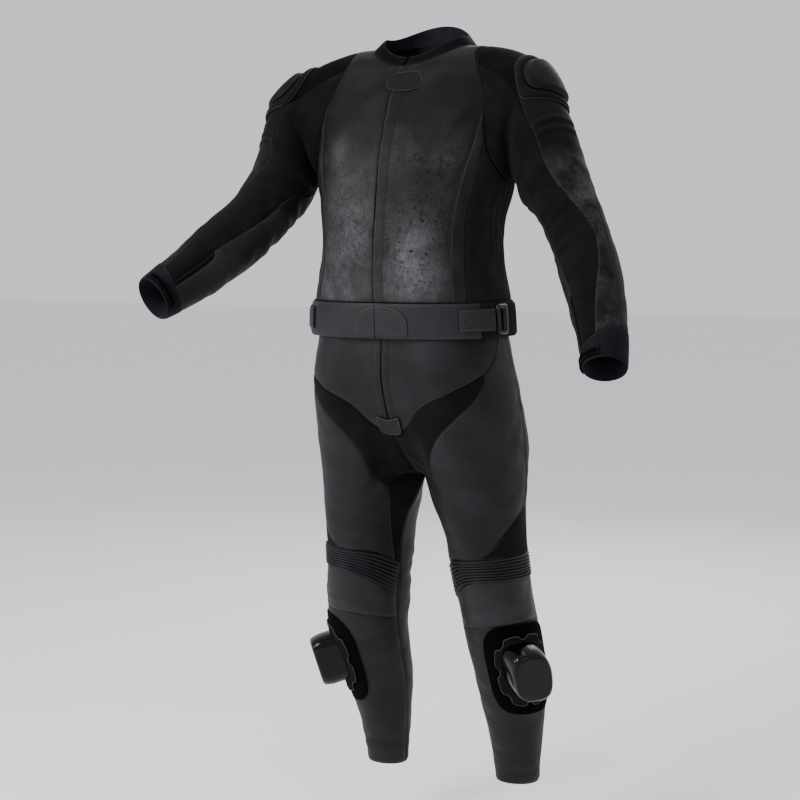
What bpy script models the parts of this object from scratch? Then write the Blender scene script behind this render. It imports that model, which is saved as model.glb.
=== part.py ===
"""Two-piece motorcycle race suit in its worn, hollow shape.

Frame: metres, +Z up, the suit faces -Y and the wearer's left is +X.
The origin lies between the shoulders, level with the shoulder points.

Every panel is a thin wall on one of four master surfaces (torso, sleeve, leg, collar).
A master surface is addressed by a turn round the body or limb and a station along it;
the stations are the rows of its table of sections.  A seam is a short row of
(turn, station) points, a panel is the sheet between four seams, and panels that share
a seam read the same points, so that their edges stay one seam gap apart.
"""
import numpy as np
import bpy

# ---------------------------------------------------------------- driving sizes (metres)
LEATHER = 0.0024          # wall of leather with its lining
STRETCH = 0.0020          # wall of stretch cloth
NEOPRENE = 0.0028         # wall of the cuffs
SEAM_GAP = 0.0003         # clearance between two panels at a seam
LAY_GAP = 0.0006          # clearance between a panel and what lies on it
MOST_MITRE = 1.5          # longest mitre at a seam, as a multiple of the wall
PROBE = 0.001             # step in turn or station that finds a surface normal

RIB_HEIGHT = 0.0030       # accordion ribs under the arm
PLEAT_HEIGHT = 0.0040     # accordion pleats above the knee
GATHER_HEIGHT = 0.0018    # gathers of the elastic waistband
BAND_HEIGHT = 0.0025      # strap bands on the upper arm
WAISTBAND_LIFT = 0.0040   # the waistband stands proud of the trousers
ZIP_SINK = 0.0015         # zip tapes lie behind the panels' edges
CUP_HEIGHT = 0.010        # shoulder protector
RING_HEIGHT = 0.004       # padded ring round it
VELCRO, VELCRO_LIFT = 0.0015, 0.0014      # fastening field on the knee
PLATE = 0.0020            # base plate of the knee slider
SEAT_GAP = 0.0012         # clearance between the knee's layers
SLIDER_DEPTH = 0.040      # knee slider puck

INK = (0.010, 0.010, 0.011, 1.0)
LEATHER_BLACK = (0.012, 0.012, 0.014, 1.0)
LEATHER_WORN = (0.035, 0.034, 0.035, 1.0)
STRETCH_BLACK = (0.007, 0.006, 0.006, 1.0)
NEOPRENE_NAVY = (0.008, 0.008, 0.012, 1.0)
PLASTIC_BLACK = (0.004, 0.004, 0.004, 1.0)


def columns(names, rows):
    """A table as one array for each named column."""
    data = np.array(rows, dtype=float)
    return {name: data[:, index] for index, name in enumerate(names)}


# half_width: side to side; *_y and *_z: depth and height at the front, side and back;
# power: 2 is an ellipse, more is squarer
TORSO = columns(
    ("half_width", "front_y", "side_y", "back_y", "front_z", "side_z", "back_z", "power"), (
        (0.180, -0.152, 0.002, 0.122, -0.449, -0.449, -0.449, 2.5),   # 0 hem
        (0.175, -0.155, 0.002, 0.118, -0.386, -0.386, -0.386, 2.5),   # 1 waist seam
        (0.160, -0.156, 0.002, 0.112, -0.310, -0.310, -0.310, 2.4),   # 2 waist
        (0.164, -0.150, 0.002, 0.122, -0.230, -0.235, -0.230, 2.4),   # 3 ribs
        (0.176, -0.137, 0.010, 0.138, -0.155, -0.178, -0.150, 2.4),   # 4 armpit
        (0.186, -0.114, 0.025, 0.148, -0.085, -0.115, -0.070, 2.4),   # 5 chest
        (0.186, -0.088, 0.040, 0.150, -0.030, -0.040, 0.000, 2.3),    # 6 shoulder
        (0.145, -0.066, 0.045, 0.142, 0.003, 0.048, 0.050, 2.1),      # 7 shoulder top
        (0.092, -0.050, 0.045, 0.135, 0.023, 0.064, 0.078, 2.0),      # 8 neck
    ))

# the armhole as a loop on the torso: turn round the sleeve, turn and station on the torso
ARMHOLE = columns(("turn", "torso_turn", "station"), (
    (0.00, 0.500, 7.45),    # top
    (0.12, 0.330, 7.10),
    (0.22, 0.285, 6.00),    # front
    (0.30, 0.300, 5.10),
    (0.40, 0.365, 4.40),
    (0.50, 0.500, 4.00),    # armpit
    (0.60, 0.620, 4.30),
    (0.70, 0.700, 5.20),
    (0.80, 0.720, 6.20),    # back
    (0.90, 0.670, 7.10),
    (1.00, 0.500, 7.45),
))

# centre of each arm section, its half thickness outwards, half depth to the front, half thickness
# towards the body, and how far its inner side drops
ARM_COLUMNS = ("x", "y", "z", "half_out", "half_front", "half_in", "drop")
ARMS = {
    1: columns(ARM_COLUMNS, (
        (0.223, 0.020, -0.100, 0.066, 0.076, 0.027, 0.085),     # upper arm
        (0.262, -0.002, -0.160, 0.058, 0.067, 0.056, 0.030),
        (0.300, -0.028, -0.222, 0.052, 0.059, 0.052, 0.004),
        (0.335, -0.055, -0.280, 0.051, 0.055, 0.051, 0.0),      # elbow
        (0.366, -0.085, -0.340, 0.050, 0.053, 0.050, 0.0),
        (0.390, -0.115, -0.395, 0.046, 0.050, 0.046, 0.0),
        (0.409, -0.145, -0.443, 0.041, 0.045, 0.041, 0.0),      # top of the cuff
        (0.422, -0.172, -0.484, 0.037, 0.041, 0.037, 0.0),      # end of the cuff
    )),
    -1: columns(ARM_COLUMNS, (
        (-0.228, -0.022, -0.098, 0.066, 0.068, 0.032, 0.080),
        (-0.231, -0.052, -0.154, 0.060, 0.066, 0.045, 0.036),
        (-0.237, -0.100, -0.206, 0.055, 0.061, 0.050, 0.010),
        (-0.251, -0.152, -0.253, 0.053, 0.058, 0.053, 0.0),
        (-0.275, -0.203, -0.294, 0.052, 0.056, 0.052, 0.0),
        (-0.299, -0.250, -0.330, 0.048, 0.053, 0.048, 0.0),
        (-0.321, -0.292, -0.358, 0.044, 0.048, 0.044, 0.0),
        (-0.338, -0.330, -0.380, 0.039, 0.042, 0.039, 0.0),
    )),
}
ARM_END = 8.0             # last station of a sleeve; station 0 is the armhole, 1 the first section
LEAVE = {1: (1.0, 0.0, -0.12), -1: (-1.0, 0.0, -0.12)}   # how each sleeve leaves its armhole
LEAVE_OVER, LEAVE_UNDER = 0.36, 0.03      # strength of that direction above and below the arm
ARRIVE_OVER, ARRIVE_UNDER = 0.22, 0.10    # the same where the first section is reached
OUT_TILT = 0.35           # lifts the direction that the sections' turn 0 faces

# one leg: the middle line, the outside, front, side and back, and the inner edge, which is the
# centre line above the crotch and the inseam below; turn is the angle in degrees that the
# section makes with the centre plane there, turnout swings the section outwards
LEG = columns(
    ("mid_x", "half_out", "front_y", "side_y", "back_y", "z", "edge_x", "edge_front_y",
     "edge_back_y", "edge_z", "turn", "turnout"), (
        (0.079, 0.084, -0.136, 0.004, 0.108, -0.425, 0.000, -0.142, 0.111, -0.425, 0, 0),    # 0 waist
        (0.086, 0.096, -0.134, 0.008, 0.128, -0.510, 0.000, -0.138, 0.131, -0.510, 0, 0),    # 1
        (0.092, 0.100, -0.111, 0.018, 0.152, -0.592, 0.000, -0.106, 0.148, -0.592, 0, 0),    # 2 hip
        (0.100, 0.096, -0.086, 0.030, 0.157, -0.660, 0.000, -0.062, 0.142, -0.646, 10, 0),   # 3
        (0.105, 0.090, -0.066, 0.038, 0.152, -0.715, 0.000, -0.006, 0.100, -0.692, 30, 3),   # 4
        (0.109, 0.083, -0.056, 0.046, 0.148, -0.760, 0.000, 0.046, 0.046, -0.714, 58, 7),    # 5 crotch
        (0.115, 0.076, -0.044, 0.054, 0.150, -0.820, 0.040, 0.057, 0.057, -0.806, 82, 11),   # 6 thigh
        (0.123, 0.071, -0.028, 0.064, 0.154, -0.880, 0.053, 0.067, 0.067, -0.880, 90, 15),   # 7
        (0.131, 0.071, -0.016, 0.072, 0.158, -0.940, 0.062, 0.074, 0.074, -0.940, 90, 16),   # 8 knee
        (0.137, 0.071, 0.002, 0.084, 0.164, -1.000, 0.068, 0.086, 0.086, -1.000, 90, 14),    # 9
        (0.140, 0.068, 0.034, 0.108, 0.181, -1.062, 0.073, 0.110, 0.110, -1.062, 90, 12),    # 10
        (0.140, 0.063, 0.066, 0.132, 0.197, -1.124, 0.078, 0.134, 0.134, -1.124, 90, 10),    # 11 calf
        (0.138, 0.055, 0.097, 0.151, 0.205, -1.186, 0.084, 0.150, 0.150, -1.186, 90, 8),     # 12
        (0.138, 0.046, 0.116, 0.160, 0.204, -1.248, 0.092, 0.158, 0.158, -1.248, 90, 6),     # 13
        (0.138, 0.041, 0.127, 0.164, 0.201, -1.300, 0.097, 0.162, 0.162, -1.300, 90, 6),     # 14 hem
    ))
LEG_END = 14.0
CROTCH = 5.0              # station below which each leg closes on its own inseam
CENTRE_FADE = 0.03        # the turnout fades out this near the centre plane
ARC_PULL = 0.56           # handle of a quarter arc drawn as a cubic curve

COLLAR_TOP = {"radius": 0.076, "front_y": -0.028, "side_y": 0.047, "back_y": 0.124,
              "front_z": 0.042, "side_z": 0.082, "back_z": 0.110}
NECK = 8.0                # torso station of the neck seam
WAIST = 1.0               # torso station of the waist seam


# ---------------------------------------------------------------- master surfaces
def along(table, name, station):
    """Smooth value of a column between its rows (Catmull-Rom)."""
    values = table[name]
    last = len(values) - 1
    ends = ([2 * values[0] - values[1]], values, [2 * values[-1] - values[-2]])
    padded = np.concatenate(ends)
    station = np.clip(station, 0, last)
    row = np.minimum(station.astype(int), last - 1)
    f = station - row
    a, b, c, d = (padded[row + step] for step in range(4))
    return b + 0.5 * f * (c - a + f * (2 * a - 5 * b + 4 * c - d + f * (3 * (b - c) + d - a)))


def stack(*parts):
    """Coordinates side by side in the last axis."""
    return np.stack(np.broadcast_arrays(*parts), axis=-1)


def unit(vector):
    """Vectors of length one."""
    return vector / np.maximum(np.linalg.norm(vector, axis=-1, keepdims=True), 1e-12)


def torso(turn, station):
    """Turn 0 is the centre front, 0.5 the wearer's left side, 1 the centre back."""
    sine, cosine = np.sin(np.pi * turn), np.cos(np.pi * turn)
    row = {name: along(TORSO, name, station) for name in TORSO}
    squeeze = (np.abs(sine) ** row["power"] + np.abs(cosine) ** row["power"]) ** (1 / row["power"])
    front = cosine > 0
    reach = np.where(front, row["front_y"] - row["side_y"], row["side_y"] - row["back_y"])
    rise = np.where(front, row["front_z"], row["back_z"]) - row["side_z"]
    return stack(row["half_width"] * sine / squeeze, row["side_y"] + reach * cosine / squeeze,
                 row["side_z"] + rise * cosine ** 2)


def loop_value(table, name, turn):
    """Smooth value of a column of a closed table whose turn runs from 0 to 1."""
    knots, values = table["turn"], table[name]
    count = len(knots) - 1
    turn = np.mod(turn, 1.0)
    row = np.clip(np.searchsorted(knots, turn, side="right") - 1, 0, count - 1)

    def slope(index):
        index = np.mod(index, count)
        before = np.mod(index - 1, count)
        span = knots[index + 1] - knots[index] + knots[before + 1] - knots[before]
        return (values[index + 1] - values[before]) / span

    width = knots[row + 1] - knots[row]
    f = (turn - knots[row]) / width
    keep, follow = 2 * f ** 3 - 3 * f ** 2 + 1, f ** 3 - 2 * f ** 2 + f
    return (keep * values[row] + (1 - keep) * values[row + 1]
            + width * (follow * slope(row) + (f ** 3 - f ** 2) * slope(row + 1)))


def armhole_place(turn):
    """Turn and station on the torso for a turn round the sleeve."""
    return loop_value(ARMHOLE, "torso_turn", turn), loop_value(ARMHOLE, "station", turn)


def sleeve(side, turn, station):
    """Turn 0 is the outside of the arm, 0.25 the front, 0.5 the inside, 0.75 the back."""
    arm = ARMS[side]
    last = len(arm["x"]) - 1
    row = np.clip(station - 1, 0, last)

    def centre(at):
        at = np.clip(at, 0, last)
        return stack(along(arm, "x", at), along(arm, "y", at), along(arm, "z", at))

    axis = unit(centre(row + 0.02) - centre(row - 0.02))
    out = np.array((side, 0.0, OUT_TILT)) - 0 * axis
    out = unit(out - axis * np.sum(axis * out, axis=-1, keepdims=True))
    front = np.cross(axis, out) * side
    angle = 2 * np.pi * turn
    outwards = np.cos(angle)
    half = np.where(outwards > 0, along(arm, "half_out", row), along(arm, "half_in", row))
    ring = (centre(row) + out * (half * outwards)[..., None]
            + front * (along(arm, "half_front", row) * np.sin(angle))[..., None])
    fall = np.maximum(along(arm, "drop", row), 0) * (0.5 - 0.5 * outwards) ** 2
    ring = ring - np.array((0, 0, 1.0)) * fall[..., None]
    start = torso(*armhole_place(turn)) * (side, 1, 1)
    over = (0.5 + 0.5 * np.cos(angle))[..., None]
    leave = unit(np.array(LEAVE[side])) * (LEAVE_UNDER + (LEAVE_OVER - LEAVE_UNDER) * over)
    arrive = axis * (ARRIVE_UNDER + (ARRIVE_OVER - ARRIVE_UNDER) * over)
    f = np.clip(station, 0, 1)[..., None]
    keep = 2 * f ** 3 - 3 * f ** 2 + 1
    blend = (keep * start + (f ** 3 - 2 * f ** 2 + f) * leave
             + (1 - keep) * ring + (f ** 3 - f ** 2) * arrive)
    return np.where((station < 1)[..., None], blend, ring)


def curve(first, pull_first, pull_last, last, share):
    """A cubic curve, read at a share of its length."""
    f = np.clip(share, 0, 1)[..., None]
    return ((1 - f) ** 3 * first + 3 * (1 - f) ** 2 * f * pull_first
            + 3 * (1 - f) * f ** 2 * pull_last + f ** 3 * last)


def leg(side, turn, station):
    """Turn 0 is the inner edge in front, 0.25 the front, 0.5 the outside, 0.75 the back."""
    row = {name: along(LEG, name, station) for name in LEG}
    mid, z, half, side_y = row["mid_x"], row["z"], row["half_out"], row["side_y"]
    edge_x = np.where(station < CROTCH, 0, np.maximum(row["edge_x"], 0))
    inseam = (row["edge_front_y"] + row["edge_back_y"]) / 2
    edge_front = np.where(station < CROTCH, row["edge_front_y"], inseam)
    edge_back = np.where(station < CROTCH, row["edge_back_y"], inseam)
    angle = np.radians(np.clip(row["turn"], 0, 90))
    x_axis, y_axis = np.array((1.0, 0, 0)), np.array((0, 1.0, 0))

    def quarter(edge_y, far_y, sign, share_in, share_out):
        """From the inner edge to the middle line, and on to the outside."""
        edge, far = stack(edge_x, edge_y, row["edge_z"]), stack(mid, far_y, z)
        outside = stack(mid + half, side_y, z)
        depth, width = np.abs(far_y - side_y), mid - edge_x
        pull = (depth * np.sin(angle) + width * np.cos(angle)) * ARC_PULL
        leave = stack(np.cos(angle), sign * np.sin(angle), 0 * angle) * pull[..., None]
        inner = curve(edge, edge + leave, far - x_axis * (width * ARC_PULL)[..., None], far, share_in)
        outer = curve(far, far + x_axis * (half * ARC_PULL)[..., None],
                      outside + y_axis * (sign * depth * ARC_PULL)[..., None], outside, share_out)
        return inner, outer

    front_in, front_out = quarter(edge_front, row["front_y"], -1, turn / 0.25, (turn - 0.25) / 0.25)
    back_in, back_out = quarter(edge_back, row["back_y"], 1, (1 - turn) / 0.25, (0.75 - turn) / 0.25)
    which = turn[..., None]
    point = np.where(which < 0.25, front_in, np.where(which < 0.5, front_out,
                     np.where(which < 0.75, back_out, back_in)))
    swing = np.radians(np.maximum(row["turnout"], 0)) * np.clip(point[..., 0] / CENTRE_FADE, 0, 1)
    across, deep = point[..., 0] - mid, point[..., 1] - side_y
    return stack(side * (mid + across * np.cos(swing) - deep * np.sin(swing)),
                 side_y + across * np.sin(swing) + deep * np.cos(swing), point[..., 2])


def collar(turn, station):
    """Station 0 is the neck seam, 1 the top edge."""
    sine, cosine = np.sin(np.pi * turn), np.cos(np.pi * turn)
    top, front = COLLAR_TOP, cosine > 0
    reach = np.where(front, top["front_y"] - top["side_y"], top["side_y"] - top["back_y"])
    rise = np.where(front, top["front_z"], top["back_z"]) - top["side_z"]
    upper = stack(top["radius"] * sine, top["side_y"] + reach * cosine, top["side_z"] + rise * cosine ** 2)
    lower = torso(turn, np.full_like(turn, NECK))
    return lower + (upper - lower) * station[..., None]


def surface_of(name, side=1):
    """A master surface of one argument pair, and the sign that points its normals outwards."""
    if name == "torso":
        return (lambda turn, station: torso(side * turn, station)), side
    if name == "sleeve":
        return (lambda turn, station: sleeve(side, turn, station)), side
    if name == "leg":
        return (lambda turn, station: leg(side, turn, station)), -side
    return collar, 1


def points_and_normals(surface, places):
    """Points of a surface and its outward unit normals at (turn, station) places."""
    face, sign = surface
    turn, station = places[..., 0], places[..., 1]
    across = face(turn + PROBE, station) - face(turn - PROBE, station)
    lengthwise = face(turn, station + PROBE) - face(turn, station - PROBE)
    return face(turn, station), unit(np.cross(across, lengthwise)) * sign


# ---------------------------------------------------------------- seams and panels
def seam(count, *stops):
    """A smooth line of count steps through (turn, station) stops."""
    stops = np.array(stops, dtype=float)
    if len(stops) == 2:
        return stops[0] + (stops[1] - stops[0]) * np.linspace(0, 1, count + 1)[:, None]
    table = {"turn": stops[:, 0], "station": stops[:, 1]}
    at = np.linspace(0, len(stops) - 1, count + 1)
    return np.stack([along(table, "turn", at), along(table, "station", at)], axis=-1)


def join(*seams):
    """One line from several that follow each other."""
    return np.concatenate([seams[0]] + [line[1:] for line in seams[1:]])


def between(bottom, right, top, left):
    """Places of the sheet between four seams; bottom and top run left to right,
    left and right run bottom to top."""
    s = np.linspace(0, 1, len(bottom))[None, :, None]
    t = np.linspace(0, 1, len(left))[:, None, None]
    corners = ((1 - s) * (1 - t) * bottom[0] + s * (1 - t) * bottom[-1]
               + (1 - s) * t * top[0] + s * t * top[-1])
    return (1 - t) * bottom[None] + t * top[None] + (1 - s) * left[:, None] + s * right[:, None] - corners


def finer(grid, row_steps, column_steps):
    """The same facets cut into more rows and columns, straight between the given points."""
    for axis, steps in ((0, row_steps), (1, column_steps)):
        count = (grid.shape[axis] - 1) * steps
        at = np.arange(count + 1) / steps
        low = np.minimum(at.astype(int), grid.shape[axis] - 2)
        share = (at - low).reshape([-1 if axis == k else 1 for k in range(grid.ndim)])
        grid = np.take(grid, low, axis) * (1 - share) + np.take(grid, low + 1, axis) * share
    return grid


PANELS = []


def panel(name, surface, places, wall, colour, lift=0.0, relief=None, steps=(1, 1), wrap=False):
    """Keep a panel until all of them are known, so that shared seams can be mitred."""
    points, normals = points_and_normals(surface, places)
    PANELS.append({"name": name, "points": points, "normals": normals, "wall": wall, "colour": colour,
                   "lift": lift, "relief": relief, "steps": steps, "wrap": wrap})


def edge_places(item):
    """Row and column of each point on a panel's edge."""
    rows, cols = item["points"].shape[:2]
    for row in range(rows):
        for col in range(cols):
            if row in (0, rows - 1) or (col in (0, cols - 1) and not item["wrap"]):
                yield row, col


def mitre_seams():
    """Give panels that meet at a seam one shared direction of thickness there."""
    meeting = {}
    for item in PANELS:
        item["stretch"] = np.ones(item["points"].shape[:2])
        for row, col in edge_places(item):
            key = tuple(np.round(item["points"][row, col] / 1e-5).astype(int))
            meeting.setdefault(key, []).append((item, row, col))
    for shared in meeting.values():
        owns = [item["normals"][row, col].copy() for item, row, col in shared]
        total = np.sum(owns, axis=0)
        if np.linalg.norm(total) < 0.2:
            continue
        common = unit(total)
        for (item, row, col), own in zip(shared, owns):
            item["normals"][row, col] = common
            item["stretch"][row, col] = min(MOST_MITRE, 1 / max(float(common @ own), 0.3))


def drawn_in(points, gap, wrap):
    """How far each edge point moves into its own panel to leave half the seam gap."""
    move = np.zeros_like(points)
    rows, cols = points.shape[:2]
    edges = [(0, 1, 0), (rows - 1, rows - 2, 0)]
    if not wrap:
        edges += [(0, 1, 1), (cols - 1, cols - 2, 1)]
    for edge, inner, axis in edges:
        line = np.take(points, edge, axis)
        inward = np.take(points, inner, axis) - line
        run = unit(np.gradient(line, axis=0))
        inward = unit(inward - run * np.sum(inward * run, axis=-1, keepdims=True)) * gap / 2
        if axis == 0:
            move[edge] += inward
        else:
            move[:, edge] += inward
    return move


def thicken(item):
    """Outer and inner points of a panel."""
    points, normals = item["points"], unit(item["normals"])
    depth = (item["wall"] * item["stretch"])[..., None]
    inner = points - normals * depth
    move = drawn_in(points, SEAM_GAP, item["wrap"])
    rows, cols = item["steps"]
    outer = finer(points + normals * item["lift"] + move, rows, cols)
    inner = finer(inner + normals * item["lift"] + move, rows, cols)
    normals = finer(normals, rows, cols)
    if item["relief"] is not None:
        shape = outer.shape[:2]
        across, up = np.meshgrid(np.linspace(0, 1, shape[1]), np.linspace(0, 1, shape[0]))
        outer = outer + normals * item["relief"](across, up)[..., None]
    return outer, inner


# ---------------------------------------------------------------- solids
def material(name, colour, roughness, metallic=0.0):
    """A Principled material, made once for each name."""
    made = bpy.data.materials.get(name)
    if made is None:
        made = bpy.data.materials.new(name)
        made.use_nodes = True
        shader = made.node_tree.nodes["Principled BSDF"]
        shader.inputs["Base Color"].default_value = colour
        shader.inputs["Roughness"].default_value = roughness
        shader.inputs["Metallic"].default_value = metallic
    return made


def mesh_object(name, points, faces, colour, roughness=0.6):
    """A named object from points and faces."""
    mesh = bpy.data.meshes.new(name)
    mesh.from_pydata([tuple(float(c) for c in point) for point in points], [], faces)
    mesh.materials.append(material(name, colour, roughness))
    mesh.validate()
    mesh.shade_smooth()
    mesh.set_sharp_from_angle(angle=np.radians(40))
    made = bpy.data.objects.new(name, mesh)
    bpy.context.scene.collection.objects.link(made)
    return made


def wall_solid(name, outer, inner, colour, wrap=False, roughness=0.6):
    """A closed wall between two grids of points; wrap joins the last column to the first."""
    rows, cols = outer.shape[:2]
    flip = facing(outer, inner)
    points = np.concatenate([outer.reshape(-1, 3), inner.reshape(-1, 3)])
    shift = rows * cols
    faces = []
    for row in range(rows - 1):
        for col in range(cols if wrap else cols - 1):
            right = (col + 1) % cols
            quad = [row * cols + col, row * cols + right, (row + 1) * cols + right, (row + 1) * cols + col]
            for face in shorter_split(points, quad):
                faces.append(face)
                faces.append([index + shift for index in reversed(face)])
    rims = []
    for col in range(cols if wrap else cols - 1):
        right = (col + 1) % cols
        rims.append((col, right))
        rims.append(((rows - 1) * cols + right, (rows - 1) * cols + col))
    if not wrap:
        for row in range(rows - 1):
            rims.append(((row + 1) * cols, row * cols))
            rims.append((row * cols + cols - 1, (row + 1) * cols + cols - 1))
    for first, second in rims:
        rim = [second, first, first + shift, second + shift]
        faces += hollow_split(points, rim[::-1] if flip else rim, flip)
    if flip:
        faces = [list(reversed(face)) for face in faces]
    return mesh_object(name, points, faces, colour, roughness)


def shorter_split(points, quad):
    """Two triangles from a quad, cut along its shorter diagonal."""
    a, b, c, d = (points[index] for index in quad)
    start = 0 if np.linalg.norm(c - a) <= np.linalg.norm(d - b) else 1
    turned = quad[start:] + quad[:start]
    return [turned[:3], [turned[0], turned[2], turned[3]]]


def hollow_split(points, quad, flip):
    """Two triangles from an outward-facing rim quad, cut so that it never bulges into a neighbour."""
    a, b, c, d = (points[index] for index in quad)
    outward = np.cross(c - a, d - b)
    if float((a + c - b - d) @ outward) > 0:
        split = [[quad[1], quad[2], quad[3]], [quad[1], quad[3], quad[0]]]
    else:
        split = [[quad[0], quad[1], quad[2]], [quad[0], quad[2], quad[3]]]
    return [face[::-1] for face in split] if flip else split


def facing(outer, inner):
    """True where rows and columns run clockwise seen from outside."""
    across = outer[:-1, 1:] - outer[:-1, :-1]
    up = outer[1:, :-1] - outer[:-1, :-1]
    away = (outer - inner)[:-1, :-1]
    return float(np.sum(np.cross(across, up) * away)) < 0


def build_panels():
    """Thicken every kept panel and make its object."""
    mitre_seams()
    for item in PANELS:
        outer, inner = thicken(item)
        wall_solid(item["name"], outer, inner, item["colour"], item["wrap"])


def outline(centre, half, power, count):
    """A closed outline of places round a centre; power sets how square it is."""
    angle = np.arange(count) * 2 * np.pi / count
    sine, cosine = np.sin(angle), np.cos(angle)
    squeeze = (np.abs(sine) ** power + np.abs(cosine) ** power) ** (1 / power)
    return np.stack([centre[0] + half[0] * cosine / squeeze,
                     centre[1] + half[1] * sine / squeeze], axis=-1)


def rounded_grid(centre, half, power, lines_across, lines_up, notch=0.0):
    """A grid of places whose border is a rounded shape, and how near each is to that border.
    Lines run from -1 to 1; a notch draws in the middles between the border's lobes."""
    across, up = np.meshgrid(lines_across, lines_up)
    near = np.maximum(np.abs(across), np.abs(up))
    safe = np.maximum(near, 1e-9)
    squeeze = (np.abs(across / safe) ** power + np.abs(up / safe) ** power) ** (1 / power)
    reach = 1 / np.maximum(squeeze, 1)
    lobes = 1 - notch * near ** 6 * (np.cos(8 * np.arctan2(up, across)) > 0.3)
    places = np.stack([centre[0] + half[0] * across * reach * lobes,
                       centre[1] + half[1] * up * reach * lobes], axis=-1)
    return places, near


def pad_solid(name, surface, grid, profile, lift, colour, roughness=0.6, level=False):
    """A pad that lies on a surface; profile pairs nearness to the border with height, and
    level cuts the top flat, square to the surface's normal under its middle."""
    places, near = grid
    low, normals = points_and_normals(surface, places)
    low = low + normals * lift
    profile = np.array(profile)
    height = np.interp(near, profile[:, 0], profile[:, 1])
    if level:
        middle = (near.shape[0] // 2, near.shape[1] // 2)
        axis = normals[middle]
        depth = np.sum((low - low[middle]) * axis, axis=-1)
        rise = np.maximum(height - depth, profile[:, 1].min())
        high = low + axis * rise[..., None]
    else:
        high = low + normals * height[..., None]
    return wall_solid(name, high, low, colour, roughness=roughness)


def ring_solid(name, surface, outside, inside, heights, lift, colour, roughness=0.6):
    """A raised ring between two outlines on a surface, highest in its middle."""
    shares = np.linspace(0, 1, len(heights))
    places = np.stack([outside + (inside - outside) * share for share in shares])
    low, normals = points_and_normals(surface, places)
    low = low + normals * lift
    high = low + normals * np.array(heights)[:, None, None]
    return wall_solid(name, high, low, colour, wrap=True, roughness=roughness)


def patch_solid(name, surface, places, lift, wall, colour, roughness=0.6):
    """A flat piece that lies on a surface."""
    points, normals = points_and_normals(surface, places)
    return wall_solid(name, points + normals * (lift + wall), points + normals * lift, colour,
                      roughness=roughness)


# ---------------------------------------------------------------- jacket
ARM_STOPS = {"top": 0.0, "saddle": 0.15, "front": 0.22, "strip": 0.31, "under": 0.60, "back": 0.80,
             "round": 1.0}
ARM_STEPS = {("top", "saddle"): 2, ("saddle", "front"): 1, ("front", "strip"): 2, ("strip", "under"): 5,
             ("under", "back"): 5, ("back", "round"): 3}


def armhole_turns(first, last):
    """Turns round the sleeve from one named stop of the armhole to another."""
    names = list(ARM_STOPS)
    turns = [ARM_STOPS[first]]
    for a, b in zip(names[names.index(first):names.index(last)], names[names.index(first) + 1:]):
        turns += list(np.linspace(ARM_STOPS[a], ARM_STOPS[b], ARM_STEPS[(a, b)] + 1)[1:])
    return np.array(turns)


def armhole_on_torso(first, last):
    """The same stretch of the armhole as places on the torso."""
    turn, station = armhole_place(armhole_turns(first, last))
    return np.stack([turn, station], axis=-1)


def armhole_on_sleeve(first, last):
    """The same stretch of the armhole as places on the sleeve."""
    turns = armhole_turns(first, last)
    return np.stack([turns, 0 * turns], axis=-1)


ZIP_HALF = 0.009          # half width of the front opening, in turns of the torso
NECK_SIDE = 0.5           # turn of the shoulder seam at the neck
FRONT_ROWS = 8            # steps from the waist seam to the armhole


def torso_panels():
    """Fronts, strips, sides, back and zip of the jacket body."""
    strip_top = armhole_on_torso("front", "strip")
    front_top = armhole_on_torso("top", "front")[::-1]
    neck_steps = 6
    side_top = armhole_on_torso("strip", "under")
    back_edge = armhole_on_torso("under", "round")
    princess = seam(FRONT_ROWS, (0.240, WAIST), (0.255, 2), (0.256, 3), (0.264, 4.2), front_top[0])
    strip_seam = seam(FRONT_ROWS, (0.285, WAIST), (0.308, 2), (0.303, 3), (0.310, 4.0), strip_top[-1])
    side_seam = seam(FRONT_ROWS, (0.640, WAIST), (0.640, 2.5), side_top[-1])
    shoulder_seam = seam(2, front_top[-1], (NECK_SIDE, NECK))
    neck_front = seam(neck_steps, (ZIP_HALF, NECK), (NECK_SIDE, NECK))
    neck_back = seam(neck_steps, (NECK_SIDE, NECK), (1.0, NECK))
    centre = join(seam(FRONT_ROWS, (ZIP_HALF, WAIST), (ZIP_HALF, 6.1)),
                  seam(3, (ZIP_HALF, 6.1), (ZIP_HALF, 7.35)), seam(2, (ZIP_HALF, 7.35), (ZIP_HALF, NECK)))
    for side, hand in ((1, "left"), (-1, "right")):
        body = surface_of("torso", side)
        panel(f"front_{hand}", body, between(
            seam(neck_steps, (ZIP_HALF, WAIST), princess[0]), join(princess, front_top, shoulder_seam),
            neck_front, centre), LEATHER, LEATHER_WORN)
        panel(f"side_front_{hand}", body, between(
            seam(2, princess[0], strip_seam[0]), strip_seam, strip_top, princess), LEATHER, LEATHER_BLACK)
        panel(f"side_{hand}", body, between(
            seam(5, strip_seam[0], side_seam[0]), side_seam, side_top, strip_seam), STRETCH, STRETCH_BLACK,
            relief=side_ribs, steps=(1, 3))
    waist_back = seam(2 * neck_steps, side_seam[0], (2 - side_seam[0][0], WAIST))
    top = join(neck_back, mirrored(neck_back)[::-1])
    edge = join(side_seam, back_edge, shoulder_seam)
    panel("back", surface_of("torso"), between(waist_back, mirrored(edge), top, edge), LEATHER, LEATHER_BLACK)
    zip_places = between(seam(1, (-ZIP_HALF, WAIST), (ZIP_HALF, WAIST)), centre,
                         seam(1, (-ZIP_HALF, NECK), (ZIP_HALF, NECK)), centre * (-1, 1))
    panel("front_zip", surface_of("torso"), zip_places, STRETCH, INK, lift=-ZIP_SINK)


def mirrored(places):
    """Places on the wearer's right that mirror those on the left, still counted onwards."""
    return np.stack([2 - places[:, 0], places[:, 1]], axis=-1)


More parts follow.
